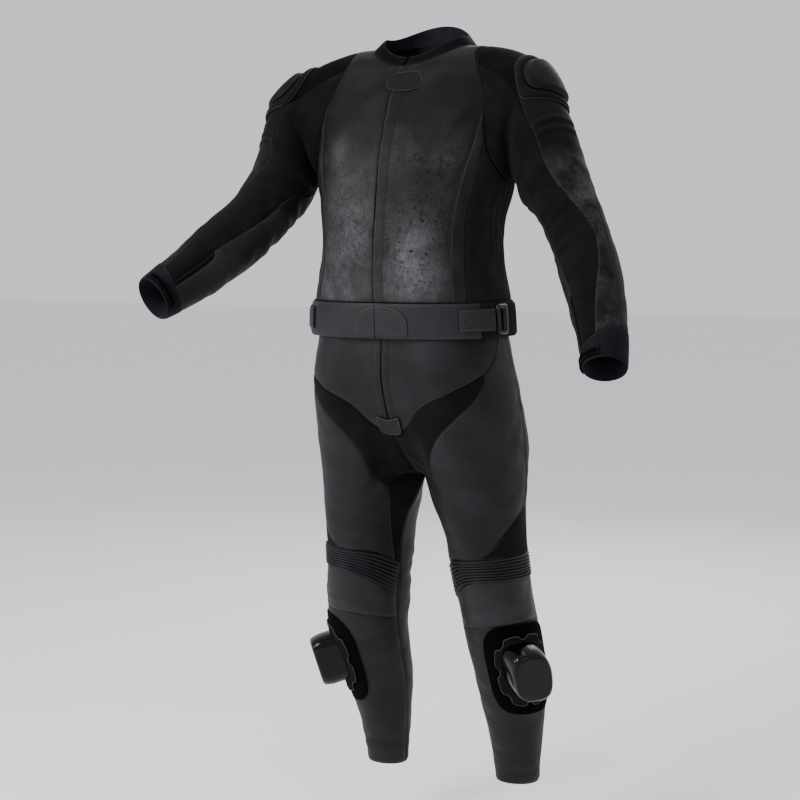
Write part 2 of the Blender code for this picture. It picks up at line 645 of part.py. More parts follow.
def side_ribs(across, up):
    """Lengthwise accordion ribs towards the back of the side panel, fading at the waist."""
    rib = (np.round(across * 15) % 2 == 1) & (across > 0.42) & (across < 0.98)
    return RIB_HEIGHT * rib * np.clip((up - 0.25) / 0.2, 0, 1) * np.clip((1 - up) / 0.1, 0, 1)


def collar_panels():
    """Band collar with its right end lapped over the left."""
    left = join(seam(6, (ZIP_HALF, 0), (NECK_SIDE, 0)), seam(6, (NECK_SIDE, 0), (1.0, 0)))
    right = left[::-1] * (-1, 1) + (2, 0)
    base = join(left, right)
    top = base + (0, 1)
    sides = seam(2, (0, 0), (0, 1))
    panel("collar", surface_of("collar"), between(base, sides + base[-1], top, sides + base[0]),
          LEATHER, LEATHER_BLACK)


# ---------------------------------------------------------------- sleeves
PAD_LINES = (-1, -0.96, -0.84, -0.5, 0, 0.5, 0.84, 0.96, 1)   # grid lines of a pad with a bevel
RING_LIFT = 0.0016
RING_CENTRE, RING_HALF = (0.0, 0.60), (0.19, 0.30)
SADDLE_END = 0.60
CUFF_MEAN, CUFF_SLANT, CUFF_TURN = 7.08, 0.33, 0.45


def leather_end(turn):
    """Station where the leather of the sleeve stops and the cuff begins."""
    return CUFF_MEAN + CUFF_SLANT * np.cos(2 * np.pi * (turn - CUFF_TURN))


def sleeve_panels(side, hand):
    """All sewn panels of one sleeve."""
    arm = surface_of("sleeve", side)
    front_turn, back_turn, inner_turn, outer_turn = 0.225, 0.055, 0.340, 0.385
    saddle_front = seam(3, (0.15, 0), (0.193, 0.35), (0.20, SADDLE_END))
    outer_front = seam(12, (0.20, SADDLE_END), (0.20, 0.83), (0.20, 1.06), (0.20, 1.33), (0.203, 1.60),
                       (0.217, 2.10), (0.207, 2.75), (0.165, 3.40), (0.120, 4.10), (0.130, 4.85),
                       (0.172, 5.60), (0.205, 6.35), (front_turn, leather_end(front_turn)))
    saddle_back = seam(3, (0.80, 0), (0.85, SADDLE_END)) - (1, 0)
    outer_back = seam(12, (-0.15, SADDLE_END), (-0.145, 0.83), (-0.14, 1.06), (-0.13, 1.33), (-0.115, 1.60),
                      (-0.080, 2.10), (-0.035, 2.75), (0.015, 3.40), (0.040, 4.10), (0.052, 4.85),
                      (0.055, 5.60), (0.055, 6.35), (back_turn, leather_end(back_turn)))
    under_seam = seam(11, (0.60, 0), (0.60, 0.9), (0.53, 1.9), (0.42, 2.9), (0.39, 3.9), (0.36, 5.0),
                      (0.345, 5.6))
    zip_inner = seam(4, (0.345, 5.6), (0.336, 6.0), (inner_turn, leather_end(inner_turn)))
    zip_outer = seam(4, (0.345, 5.6), (0.380, 5.9), (outer_turn, leather_end(outer_turn)))

    def end_line(count, first, last):
        turns = np.linspace(first, last, count + 1)
        return np.stack([turns, leather_end(turns)], axis=-1)

    saddle_top = join(armhole_on_sleeve("back", "round") - (1, 0), armhole_on_sleeve("top", "saddle"))
    hidden_seam = seam(5, saddle_back[-1], saddle_front[-1])
    panel(f"sleeve_shoulder_{hand}", arm, between(saddle_top, saddle_front, hidden_seam, saddle_back),
          LEATHER, LEATHER_BLACK)
    outer_end = end_line(5, back_turn, front_turn)
    panel(f"sleeve_outer_{hand}", arm, between(hidden_seam, outer_front, outer_end, outer_back),
          LEATHER, LEATHER_WORN, relief=strap_bands, steps=(2, 1))
    stretch_end = end_line(8, front_turn, inner_turn)
    panel(f"sleeve_stretch_{hand}", arm, between(
        armhole_on_sleeve("saddle", "under"), join(under_seam, zip_inner), stretch_end,
        join(saddle_front, outer_front)), STRETCH, STRETCH_BLACK)
    under_end = end_line(5, outer_turn, 1 + back_turn)
    panel(f"sleeve_under_{hand}", arm, between(
        armhole_on_sleeve("under", "back"), join(saddle_back, outer_back) + (1, 0), under_end,
        join(under_seam, zip_outer)), LEATHER, LEATHER_BLACK)
    zip_end = end_line(1, inner_turn, outer_turn)
    zip_start = np.array([(0.345, 5.6), (0.345, 5.6)])
    zip_places = between(zip_start, zip_outer, zip_end, zip_inner)[1:]
    panel(f"sleeve_zip_{hand}", arm, zip_places, STRETCH, INK, lift=-ZIP_SINK / 2)
    cuff_top = join(outer_end, stretch_end, zip_end, under_end)[:-1]
    cuff_bottom = np.stack([cuff_top[:, 0], np.full(len(cuff_top), ARM_END)], axis=-1)
    cuff = np.stack([cuff_top, (cuff_top + cuff_bottom) / 2, cuff_bottom])
    panel(f"sleeve_cuff_{hand}", arm, cuff, NEOPRENE, NEOPRENE_NAVY, wrap=True)


def strap_bands(across, up):
    """Two flat bands across the upper arm, in front of the outer seam."""
    row = np.round(up * 24)
    return BAND_HEIGHT * ((row == 5) * 0.8 + (row == 7)) * (across > 0.3)


def sleeve_trims(side, hand):
    """Protector ring and cup, and the strap on the cuff."""
    arm = surface_of("sleeve", side)
    outside = outline(RING_CENTRE, RING_HALF, 2.6, 24)
    inside = outline(RING_CENTRE, (RING_HALF[0] * 0.80, RING_HALF[1] * 0.74), 2.6, 24)
    cup = rounded_grid(RING_CENTRE, (RING_HALF[0] * 0.77, RING_HALF[1] * 0.70), 2.6, PAD_LINES, PAD_LINES)
    ring_solid(f"shoulder_ring_{hand}", arm, outside, inside, (0.002, RING_HEIGHT, 0.002),
               RING_LIFT, LEATHER_BLACK)
    pad_solid(f"shoulder_cup_{hand}", arm, cup, ((0.0, CUP_HEIGHT), (0.84, CUP_HEIGHT), (1.0, 0.003)),
              RING_LIFT, PLASTIC_BLACK, roughness=0.35)
    strap = between(seam(8, (0.20, 7.62), (0.50, 7.66)), seam(1, (0.50, 7.66), (0.50, 7.96)),
                    seam(8, (0.20, 7.92), (0.50, 7.96)), seam(1, (0.20, 7.62), (0.20, 7.92)))
    patch_solid(f"cuff_strap_{hand}", arm, strap, LAY_GAP, STRETCH, INK)


# ---------------------------------------------------------------- waistband
def waistband():
    """Front band, gathered elastic, D-shaped patch, straps and buckles."""
    body = surface_of("torso")
    edge = 0.335
    rows = seam(1, (0, 0.02), (0, 0.98))
    front = np.stack([seam(12, (-edge, 0), (edge, 0)) + (0, row[1]) for row in rows])
    panel("waistband_front", body, front, LEATHER, LEATHER_BLACK, lift=WAISTBAND_LIFT)
    back = np.stack([seam(22, (edge, 0), (2 - edge, 0)) + (0, row[1]) for row in rows])
    panel("waistband_elastic", body, back, STRETCH, STRETCH_BLACK, lift=WAISTBAND_LIFT,
          relief=gathers, steps=(1, 2))
    lift = WAISTBAND_LIFT + LAY_GAP
    left, right, shoulder, top = -0.070, 0.104, 0.30, 0.93
    arch = np.linspace(0, np.pi, 9)
    upper = np.stack([(left + right) / 2 - (right - left) / 2 * np.cos(arch),
                      shoulder + (top - shoulder) * np.sin(arch) ** 0.6], axis=-1)
    lower = np.stack([np.linspace(left, right, 9), np.full(9, 0.08)], axis=-1)
    patch = between(lower, seam(3, lower[-1], upper[-1]), upper, seam(3, lower[0], upper[0]))
    patch_solid("waistband_patch", body, patch, lift, 0.0015, LEATHER_BLACK)
    for side, hand in ((1, "left"), (-1, "right")):
        hip = surface_of("torso", side)
        strap = between(seam(6, (0.255, 0.22), (0.395, 0.22)), seam(1, (0.395, 0.22), (0.395, 0.84)),
                        seam(6, (0.255, 0.84), (0.395, 0.84)), seam(1, (0.255, 0.22), (0.255, 0.84)))
        strap_lift = lift + GATHER_HEIGHT
        patch_solid(f"belt_strap_{hand}", hip, strap, strap_lift, 0.0018, LEATHER_BLACK)
        frame = outline((0.435, 0.52), (0.034, 0.42), 8, 16)
        slot = outline((0.426, 0.52), (0.013, 0.30), 8, 16)
        ring_solid(f"belt_buckle_{hand}", hip, frame, slot, (0.004, 0.006, 0.004), strap_lift,
                   PLASTIC_BLACK, roughness=0.4)


def gathers(across, up):
    """Short gathers of the elastic at both sides of the band, none at the back."""
    wave = np.round(across * 44) % 2 == 1
    sides = (across < 0.30) | (across > 0.70)
    return GATHER_HEIGHT * wave * sides + 0 * up


def neck_tab():
    """Rounded tab under the front of the collar."""
    lines = np.linspace(-1, 1, 5)
    pad_solid("neck_tab", surface_of("torso"), rounded_grid((0.030, 6.72), (0.062, 0.56), 3.0, lines, lines),
              ((0.0, 0.0015), (1.0, 0.0015)), LAY_GAP, LEATHER_BLACK)


# ---------------------------------------------------------------- trousers
FLY_END = 2.42
TIP = (0.41, 1.00)
TIP_LOW = (0.41, 1.15)
WEDGE_TOP = (0.512, 4.86)
WEDGE_TIP = (0.25, 6.42)
SIDE_TURN = 0.53
KNEE_CENTRE = {1: (0.363, 9.92), -1: (0.365, 10.2)}
SLIDER_CENTRE = {1: (0.352, 9.79), -1: (0.365, 10.2)}
VELCRO_HALF = (0.165, 1.50)   # half sizes around the knee, in turns and stations
PLATE_HALF = (0.122, 1.16)
SLIDER_HALF = (0.087, 0.81)
FLY_HALF = 0.014
FLY_PATCH_LIFT = 0.0030
FLY_PATCH_WALL = 0.0015
FLY_PATCH_HALF = 0.040        # turns from the middle to the patch's sides
FLY_PATCH_TOP, FLY_PATCH_END = 1.94, 2.46
FLY_PATCH_DIP = 0.07          # how far the top line dips in the middle, in stations


def leg_panels(side, hand):
    """All sewn panels of one trouser leg with its half of the seat."""
    limb = surface_of("leg", side)
    fly = seam(3, (FLY_HALF, 0.0), (FLY_HALF, FLY_END))
    waist_front = seam(5, (FLY_HALF, 0.0), (0.50, 0.0))
    yoke_side = seam(3, (0.50, 0.0), (0.46, 0.60), TIP)
    yoke_seam = seam(5, (FLY_HALF, FLY_END), (0.12, 2.00), (0.23, 1.62), (0.335, 1.27), TIP)
    panel(f"yoke_{hand}", limb, between(waist_front, yoke_side, yoke_seam, fly), LEATHER, LEATHER_BLACK)

    inner_edge = seam(10, (0.0, FLY_END + 0.02), (0.0, 3.3), (0.0, 4.2), (0.0, 5.0), (0.0, 5.9), (0.0, 7.0))
    crotch_start = seam(1, (FLY_HALF, FLY_END), (0.0, FLY_END + 0.02))
    wing_tip = seam(3, TIP, TIP_LOW)
    wing_seam = seam(16, TIP_LOW, (0.37, 1.52), (0.30, 1.98), (0.235, 2.5), (0.165, 3.2), (0.122, 3.9),
                     (0.095, 4.6), (0.075, 5.3), (0.044, 6.1), (0.02, 6.9))
    crotch_end = seam(3, (0.0, 7.0), (0.02, 6.9))
    inner_line = join(yoke_seam[::-1], crotch_start, inner_edge)
    panel(f"crotch_{hand}", limb, between(wing_tip, wing_seam, crotch_end, inner_line),
          STRETCH, STRETCH_BLACK)

    pleat_top_thigh = seam(4, (0.02, 6.9), (0.11, 6.58), WEDGE_TIP)
    side_high = seam(16, (SIDE_TURN, 0.0), (SIDE_TURN, 2.0), (0.52, 3.8), WEDGE_TOP)
    wedge_back = seam(3, WEDGE_TOP, (SIDE_TURN, 6.4))
    wedge_upper = seam(3, WEDGE_TOP, (0.40, 5.5))
    wedge_lower = seam(3, (0.40, 5.5), (0.32, 6.05), WEDGE_TIP)
    pleat_top_wedge = seam(3, WEDGE_TIP, (0.39, 6.36), (SIDE_TURN, 6.4))
    waist_side = seam(4, (0.50, 0.0), (SIDE_TURN, 0.0))
    panel(f"thigh_{hand}", limb, between(
        waist_side, join(side_high, wedge_upper, wedge_lower), pleat_top_thigh,
        join(yoke_side, wing_tip, wing_seam)), LEATHER, LEATHER_BLACK)
    panel(f"knee_wedge_{hand}", limb, between(
        wedge_upper[::-1], wedge_back, pleat_top_wedge, wedge_lower), STRETCH, STRETCH_BLACK, steps=(1, 2))

    pleat_top = join(crotch_end, pleat_top_thigh, pleat_top_wedge)
    pleat_bottom = seam(10, (0.0, 8.0), (0.14, 7.32), (0.24, 7.10), (0.34, 7.06), (SIDE_TURN, 7.15))
    pleat_in = seam(4, (0.0, 7.0), (0.0, 8.0))
    pleat_out = seam(4, (SIDE_TURN, 6.4), (SIDE_TURN, 7.15))
    panel(f"knee_pleats_{hand}", limb, between(pleat_top, pleat_out, pleat_bottom, pleat_in),
          LEATHER, LEATHER_BLACK, relief=pleats, steps=(4, 1))
    knee_bottom = seam(10, (0.0, 8.8), (0.15, 8.60), (0.27, 8.50), (0.40, 8.42), (SIDE_TURN, 8.4))
    knee_in = seam(2, (0.0, 8.0), (0.0, 8.8))
    knee_out = seam(2, (SIDE_TURN, 7.15), (SIDE_TURN, 8.4))
    panel(f"knee_{hand}", limb, between(pleat_bottom, knee_out, knee_bottom, knee_in), LEATHER, LEATHER_BLACK)
    hem = seam(10, (0.0, LEG_END), (0.50, LEG_END))
    shin_in = seam(7, (0.0, 8.8), (0.0, LEG_END))
    shin_out = seam(7, (SIDE_TURN, 8.4), (SIDE_TURN, 11), (0.50, LEG_END))
    panel(f"shin_{hand}", limb, between(knee_bottom, shin_out, hem, shin_in), LEATHER, LEATHER_BLACK)

    back_inner = join(seam(8, (1.0, 0.0), (1.0, FLY_END)), seam(1, (1.0, FLY_END), (1.0, FLY_END + 0.02)),
                      inner_edge + (1, 0), pleat_in + (1, 0), knee_in + (1, 0), shin_in + (1, 0))
    back_outer = join(side_high, wedge_back, pleat_out, knee_out, shin_out)
    seat_top = seam(6, (SIDE_TURN, 0.0), (1.0, 0.0))
    hem_back = seam(6, (0.50, LEG_END), (1.0, LEG_END))
    panel(f"leg_back_{hand}", limb, between(seat_top, back_inner, hem_back, back_outer),
          LEATHER, LEATHER_BLACK)


def pleats(across, up):
    """Eight sharp pleats across the front of the knee, dying out at the inner seam."""
    crest = np.round(up * 16) % 2 == 1
    return PLEAT_HEIGHT * crest * np.clip(across / 0.15 + 0.35, 0, 1)


def fly():
    """Zip tape of the fly and the patch at its lower end."""
    right_edge = seam(3, (FLY_HALF, 0.0), (FLY_HALF, FLY_END))
    limb, sign = surface_of("leg", 1)
    half = right_edge[:, 0]
    places = right_edge[:, 1]
    edge, normal = points_and_normals((limb, sign), np.stack([half, places], axis=-1))
    flip = np.array((-1, 1, 1))
    points = np.stack([edge * flip, edge])
    normals = np.stack([normal * flip, normal])
    PANELS.append({"name": "fly_zip", "points": points, "normals": normals, "wall": STRETCH, "colour": INK,
                   "lift": -ZIP_SINK, "relief": None, "steps": (1, 1), "wrap": False})


def fly_patch():
    """Small patch over the lower end of the fly, on both halves of the trousers."""
    across, down = np.meshgrid((0.0, 0.5, 1.0), np.linspace(0, 1, 4))
    top = FLY_PATCH_TOP + FLY_PATCH_DIP * (1 - across)
    end = FLY_PATCH_END - FLY_PATCH_DIP * across ** 2
    places = np.stack([FLY_PATCH_HALF * across, top + (end - top) * down], axis=-1)
    points, normals = points_and_normals(surface_of("leg", 1), places)
    flip = np.array((-1, 1, 1))
    points = np.concatenate([(points * flip)[:, :0:-1], points], axis=1)
    normals = np.concatenate([(normals * flip)[:, :0:-1], normals], axis=1)
    low = points + normals * FLY_PATCH_LIFT
    wall_solid("fly_patch", low + normals * FLY_PATCH_WALL, low, LEATHER_BLACK)


def knee_trims(side, hand):
    """Velcro field, notched base plate and puck on the outer front of the knee."""
    limb = surface_of("leg", side)
    centre = KNEE_CENTRE[side]
    flat = ((0.0, 1.0), (1.0, 1.0))
    across, up = np.linspace(-1, 1, 8), np.linspace(-1, 1, 10)
    pad_solid(f"velcro_{hand}", limb, rounded_grid(centre, VELCRO_HALF, 3.6, across, up),
              [(at, VELCRO * h) for at, h in flat], VELCRO_LIFT, INK)
    plate_lift = VELCRO_LIFT + VELCRO + SEAT_GAP
    pad_solid(f"slider_base_{hand}", limb, rounded_grid(centre, PLATE_HALF, 3.0, across, up, notch=0.10),
              [(at, PLATE * h) for at, h in flat], plate_lift, INK)
    puck = rounded_grid(SLIDER_CENTRE[side], SLIDER_HALF, 2.8, PAD_LINES, PAD_LINES)
    pad_solid(f"knee_slider_{hand}", limb, puck,
              ((0.0, SLIDER_DEPTH), (0.84, SLIDER_DEPTH), (0.96, SLIDER_DEPTH - 0.005), (1.0, 0.016)),
              plate_lift + PLATE + SEAT_GAP, PLASTIC_BLACK, roughness=0.15, level=True)


def build():
    """Make the whole suit."""
    for item in list(bpy.data.objects):
        bpy.data.objects.remove(item, do_unlink=True)
    torso_panels()
    collar_panels()
    waistband()
    fly()
    for side, hand in ((1, "left"), (-1, "right")):
        sleeve_panels(side, hand)
        leg_panels(side, hand)
    build_panels()
    neck_tab()
    fly_patch()
    for side, hand in ((1, "left"), (-1, "right")):
        sleeve_trims(side, hand)
        knee_trims(side, hand)


build()
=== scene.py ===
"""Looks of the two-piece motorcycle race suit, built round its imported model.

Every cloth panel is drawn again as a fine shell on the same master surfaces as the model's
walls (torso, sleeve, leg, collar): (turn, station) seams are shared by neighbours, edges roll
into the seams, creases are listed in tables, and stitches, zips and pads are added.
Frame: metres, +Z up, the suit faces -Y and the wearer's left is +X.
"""
import math
import numpy as np
import bpy
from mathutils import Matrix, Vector


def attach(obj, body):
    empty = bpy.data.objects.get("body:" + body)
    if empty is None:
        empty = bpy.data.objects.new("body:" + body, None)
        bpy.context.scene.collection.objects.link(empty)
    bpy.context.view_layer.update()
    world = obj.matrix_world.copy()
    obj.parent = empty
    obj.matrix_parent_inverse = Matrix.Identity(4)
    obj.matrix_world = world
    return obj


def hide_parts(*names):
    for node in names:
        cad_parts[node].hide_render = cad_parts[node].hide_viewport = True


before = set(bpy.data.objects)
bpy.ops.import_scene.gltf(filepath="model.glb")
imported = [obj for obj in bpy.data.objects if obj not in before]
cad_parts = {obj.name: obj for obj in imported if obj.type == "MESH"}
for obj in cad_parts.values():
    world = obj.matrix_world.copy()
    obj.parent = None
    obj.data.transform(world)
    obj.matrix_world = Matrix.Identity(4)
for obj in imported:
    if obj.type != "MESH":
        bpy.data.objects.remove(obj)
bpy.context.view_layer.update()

# ---- sizes (metres)
DETAIL = 6                # fine steps in each of the model's steps
LEATHER = 0.0024          # wall of leather with its lining
STRETCH = 0.0020          # wall of stretch cloth
NEOPRENE = 0.0028         # wall of the cuffs
LAY_GAP = 0.0006          # clearance between a panel and what lies on it
PROBE = 0.001             # step in turn or station that finds a surface normal
CLOTH_PITCH = (0.0043, 0.0044)      # mesh pitch of cloth, across and along a panel
RIB_PITCH, GATHER_PITCH, PLEAT_PITCH = (0.0018, 0.0060), (0.0016, 0.0040), (0.0040, 0.0014)

RIB_HEIGHT = 0.0020       # accordion ribs under the arm
PLEAT_HEIGHT = 0.0050     # accordion pleats above the knee
GATHER_HEIGHT = 0.0018    # gathers of the elastic waistband
BAND_HEIGHT = 0.0022      # strap bands on the upper arm
WAISTBAND_LIFT = 0.0040   # the waistband stands proud of the trousers
ZIP_SINK = 0.0015         # zip tapes lie behind the panels' edges
CUP_HEIGHT = 0.010        # shoulder protector
RING_HEIGHT = 0.004       # padded ring round it
VELCRO, VELCRO_LIFT = 0.0015, 0.0014      # fastening field on the knee
PLATE = 0.0020            # base plate of the knee slider
SEAT_GAP = 0.0012         # clearance between the knee's layers
SLIDER_DEPTH = 0.040      # knee slider puck
HANDS = ((1, "left"), (-1, "right"))


def columns(names, rows):
    """A table as one array for each named column."""
    data = np.array(rows, dtype=float)
    return {name: data[:, index] for index, name in enumerate(names)}


# half_width: side to side; *_y and *_z: depth and height at the front, side and back;
# power: 2 is an ellipse, more is squarer
TORSO = columns(
    ("half_width", "front_y", "side_y", "back_y", "front_z", "side_z", "back_z", "power"), (
        (0.180, -0.152, 0.002, 0.122, -0.449, -0.449, -0.449, 2.5),   # 0 hem
        (0.175, -0.155, 0.002, 0.118, -0.386, -0.386, -0.386, 2.5),   # 1 waist seam
        (0.160, -0.156, 0.002, 0.112, -0.310, -0.310, -0.310, 2.4),   # 2 waist
        (0.164, -0.150, 0.002, 0.122, -0.230, -0.235, -0.230, 2.4),   # 3 ribs
        (0.176, -0.137, 0.010, 0.138, -0.155, -0.178, -0.150, 2.4),   # 4 armpit
        (0.186, -0.114, 0.025, 0.148, -0.085, -0.115, -0.070, 2.4),   # 5 chest
        (0.186, -0.088, 0.040, 0.150, -0.030, -0.040, 0.000, 2.3),    # 6 shoulder
        (0.145, -0.066, 0.045, 0.142, 0.003, 0.048, 0.050, 2.1),      # 7 shoulder top
        (0.092, -0.050, 0.045, 0.135, 0.023, 0.064, 0.078, 2.0),      # 8 neck
    ))

# the armhole as a loop on the torso: turn round the sleeve, turn and station on the torso
ARMHOLE = columns(("turn", "torso_turn", "station"), (
    (0.00, 0.500, 7.45),    # top
    (0.12, 0.330, 7.10),
    (0.22, 0.285, 6.00),    # front
    (0.30, 0.300, 5.10),
    (0.40, 0.365, 4.40),
    (0.50, 0.500, 4.00),    # armpit
    (0.60, 0.620, 4.30),
    (0.70, 0.700, 5.20),
    (0.80, 0.720, 6.20),    # back
    (0.90, 0.670, 7.10),
    (1.00, 0.500, 7.45),
))

# centre of each arm section, its half thickness outwards, half depth to the front, half thickness
# towards the body, and how far its inner side drops
ARM_COLUMNS = ("x", "y", "z", "half_out", "half_front", "half_in", "drop")
ARMS = {
    1: columns(ARM_COLUMNS, (
        (0.223, 0.020, -0.100, 0.066, 0.076, 0.027, 0.085),     # upper arm
        (0.262, -0.002, -0.160, 0.058, 0.067, 0.056, 0.030),
        (0.300, -0.028, -0.222, 0.052, 0.059, 0.052, 0.004),
        (0.335, -0.055, -0.280, 0.051, 0.055, 0.051, 0.0),      # elbow
        (0.366, -0.085, -0.340, 0.050, 0.053, 0.050, 0.0),
        (0.390, -0.115, -0.395, 0.046, 0.050, 0.046, 0.0),
        (0.409, -0.145, -0.443, 0.041, 0.045, 0.041, 0.0),      # top of the cuff
        (0.422, -0.172, -0.484, 0.037, 0.041, 0.037, 0.0),      # end of the cuff
    )),
    -1: columns(ARM_COLUMNS, (
        (-0.228, -0.022, -0.098, 0.066, 0.068, 0.032, 0.080),
        (-0.231, -0.052, -0.154, 0.060, 0.066, 0.045, 0.036),
        (-0.237, -0.100, -0.206, 0.055, 0.061, 0.050, 0.010),
        (-0.251, -0.152, -0.253, 0.053, 0.058, 0.053, 0.0),
        (-0.275, -0.203, -0.294, 0.052, 0.056, 0.052, 0.0),
        (-0.299, -0.250, -0.330, 0.048, 0.053, 0.048, 0.0),
        (-0.321, -0.292, -0.358, 0.044, 0.048, 0.044, 0.0),
        (-0.338, -0.330, -0.380, 0.039, 0.042, 0.039, 0.0),
    )),
}
ARM_END = 8.0             # last station of a sleeve; station 0 is the armhole, 1 the first section
LEAVE = {1: (1.0, 0.0, -0.12), -1: (-1.0, 0.0, -0.12)}   # how each sleeve leaves its armhole
LEAVE_OVER, LEAVE_UNDER = 0.36, 0.03      # strength of that direction above and below the arm
ARRIVE_OVER, ARRIVE_UNDER = 0.22, 0.10    # the same where the first section is reached
OUT_TILT = 0.35           # lifts the direction that the sections' turn 0 faces
AXIS_STEP = 0.02          # step in rows that finds the direction of the arm

# one leg: the middle line, the outside, front, side and back, and the inner edge, which is the
# centre line above the crotch and the inseam below; turn is the angle in degrees that the
# section makes with the centre plane there, turnout swings the section outwards
LEG = columns(
    ("mid_x", "half_out", "front_y", "side_y", "back_y", "z", "edge_x", "edge_front_y",
     "edge_back_y", "edge_z", "turn", "turnout"), (
        (0.079, 0.084, -0.136, 0.004, 0.108, -0.425, 0.000, -0.142, 0.111, -0.425, 0, 0),    # 0 waist
        (0.086, 0.096, -0.134, 0.008, 0.128, -0.510, 0.000, -0.138, 0.131, -0.510, 0, 0),    # 1
        (0.092, 0.100, -0.111, 0.018, 0.152, -0.592, 0.000, -0.106, 0.148, -0.592, 0, 0),    # 2 hip
        (0.100, 0.096, -0.086, 0.030, 0.157, -0.660, 0.000, -0.062, 0.142, -0.646, 10, 0),   # 3
        (0.105, 0.090, -0.066, 0.038, 0.152, -0.715, 0.000, -0.006, 0.100, -0.692, 30, 3),   # 4
        (0.109, 0.083, -0.056, 0.046, 0.148, -0.760, 0.000, 0.046, 0.046, -0.714, 58, 7),    # 5 crotch
        (0.115, 0.076, -0.044, 0.054, 0.150, -0.820, 0.040, 0.057, 0.057, -0.806, 82, 11),   # 6 thigh
        (0.123, 0.071, -0.028, 0.064, 0.154, -0.880, 0.053, 0.067, 0.067, -0.880, 90, 15),   # 7
        (0.131, 0.071, -0.016, 0.072, 0.158, -0.940, 0.062, 0.074, 0.074, -0.940, 90, 16),   # 8 knee
        (0.137, 0.071, 0.002, 0.084, 0.164, -1.000, 0.068, 0.086, 0.086, -1.000, 90, 14),    # 9
        (0.140, 0.068, 0.034, 0.108, 0.181, -1.062, 0.073, 0.110, 0.110, -1.062, 90, 12),    # 10
        (0.140, 0.063, 0.066, 0.132, 0.197, -1.124, 0.078, 0.134, 0.134, -1.124, 90, 10),    # 11 calf
        (0.138, 0.055, 0.097, 0.151, 0.205, -1.186, 0.084, 0.150, 0.150, -1.186, 90, 8),     # 12
        (0.138, 0.046, 0.116, 0.160, 0.204, -1.248, 0.092, 0.158, 0.158, -1.248, 90, 6),     # 13
        (0.138, 0.041, 0.127, 0.164, 0.201, -1.300, 0.097, 0.162, 0.162, -1.300, 90, 6),     # 14 hem
    ))
LEG_END = 14.0
CROTCH = 5.0              # station below which each leg closes on its own inseam
CENTRE_FADE = 0.03        # the turnout fades out this near the centre plane
ARC_PULL = 0.56           # handle of a quarter arc drawn as a cubic curve

COLLAR_TOP = {"half_width": 0.076, "front_y": -0.028, "side_y": 0.047, "back_y": 0.124,
              "front_z": 0.042, "side_z": 0.082, "back_z": 0.110}
NECK = 8.0                # torso station of the neck seam
WAIST = 1.0               # torso station of the waist seam


# ---- master surfaces
def along(table, name, station):
    """Smooth value of a column between its rows (Catmull-Rom)."""
    values = table[name]
    last = len(values) - 1
    ends = ([2 * values[0] - values[1]], values, [2 * values[-1] - values[-2]])
    padded = np.concatenate(ends)
    station = np.clip(station, 0, last)
    row = np.minimum(station.astype(int), last - 1)
    f = station - row
    a, b, c, d = (padded[row + step] for step in range(4))
    return b + 0.5 * f * (c - a + f * (2 * a - 5 * b + 4 * c - d + f * (3 * (b - c) + d - a)))


def stack(*parts):
    """Coordinates side by side in the last axis."""
    return np.stack(np.broadcast_arrays(*parts), axis=-1)


def unit(vector):
    """Vectors of length one."""
    return vector / np.maximum(np.linalg.norm(vector, axis=-1, keepdims=True), 1e-12)


def squeezed(first, second, power):
    """Length of a direction in a rounded square; power 2 makes it a circle."""
    return (np.abs(first) ** power + np.abs(second) ** power) ** (1 / power)


def body_ring(row, turn, power=None):
    """Points of a ring round the body that has its own front, side and back."""
    sine, cosine = np.sin(np.pi * turn), np.cos(np.pi * turn)
    reach = np.where(cosine > 0, row["front_y"] - row["side_y"], row["side_y"] - row["back_y"])
    rise = np.where(cosine > 0, row["front_z"], row["back_z"]) - row["side_z"]
    size = 1.0 if power is None else squeezed(sine, cosine, power)
    return stack(row["half_width"] * sine / size, row["side_y"] + reach * cosine / size,
                 row["side_z"] + rise * cosine ** 2)


def torso(turn, station):
    """Turn 0 is the centre front, 0.5 the wearer's left side, 1 the centre back."""
    row = {name: along(TORSO, name, station) for name in TORSO}
    return body_ring(row, turn, row["power"])


def loop_value(table, name, turn):
    """Smooth value of a column of a closed table whose turn runs from 0 to 1."""
    knots, values = table["turn"], table[name]
    count = len(knots) - 1
    turn = np.mod(turn, 1.0)
    row = np.clip(np.searchsorted(knots, turn, side="right") - 1, 0, count - 1)

    def slope(index):
        index = np.mod(index, count)
        before = np.mod(index - 1, count)
        span = knots[index + 1] - knots[index] + knots[before + 1] - knots[before]
        return (values[index + 1] - values[before]) / span

    width = knots[row + 1] - knots[row]
    f = (turn - knots[row]) / width
    keep, follow = 2 * f ** 3 - 3 * f ** 2 + 1, f ** 3 - 2 * f ** 2 + f
    return (keep * values[row] + (1 - keep) * values[row + 1]
            + width * (follow * slope(row) + (f ** 3 - f ** 2) * slope(row + 1)))


def armhole_place(turn):
    """Turn and station on the torso for a turn round the sleeve."""
    return loop_value(ARMHOLE, "torso_turn", turn), loop_value(ARMHOLE, "station", turn)


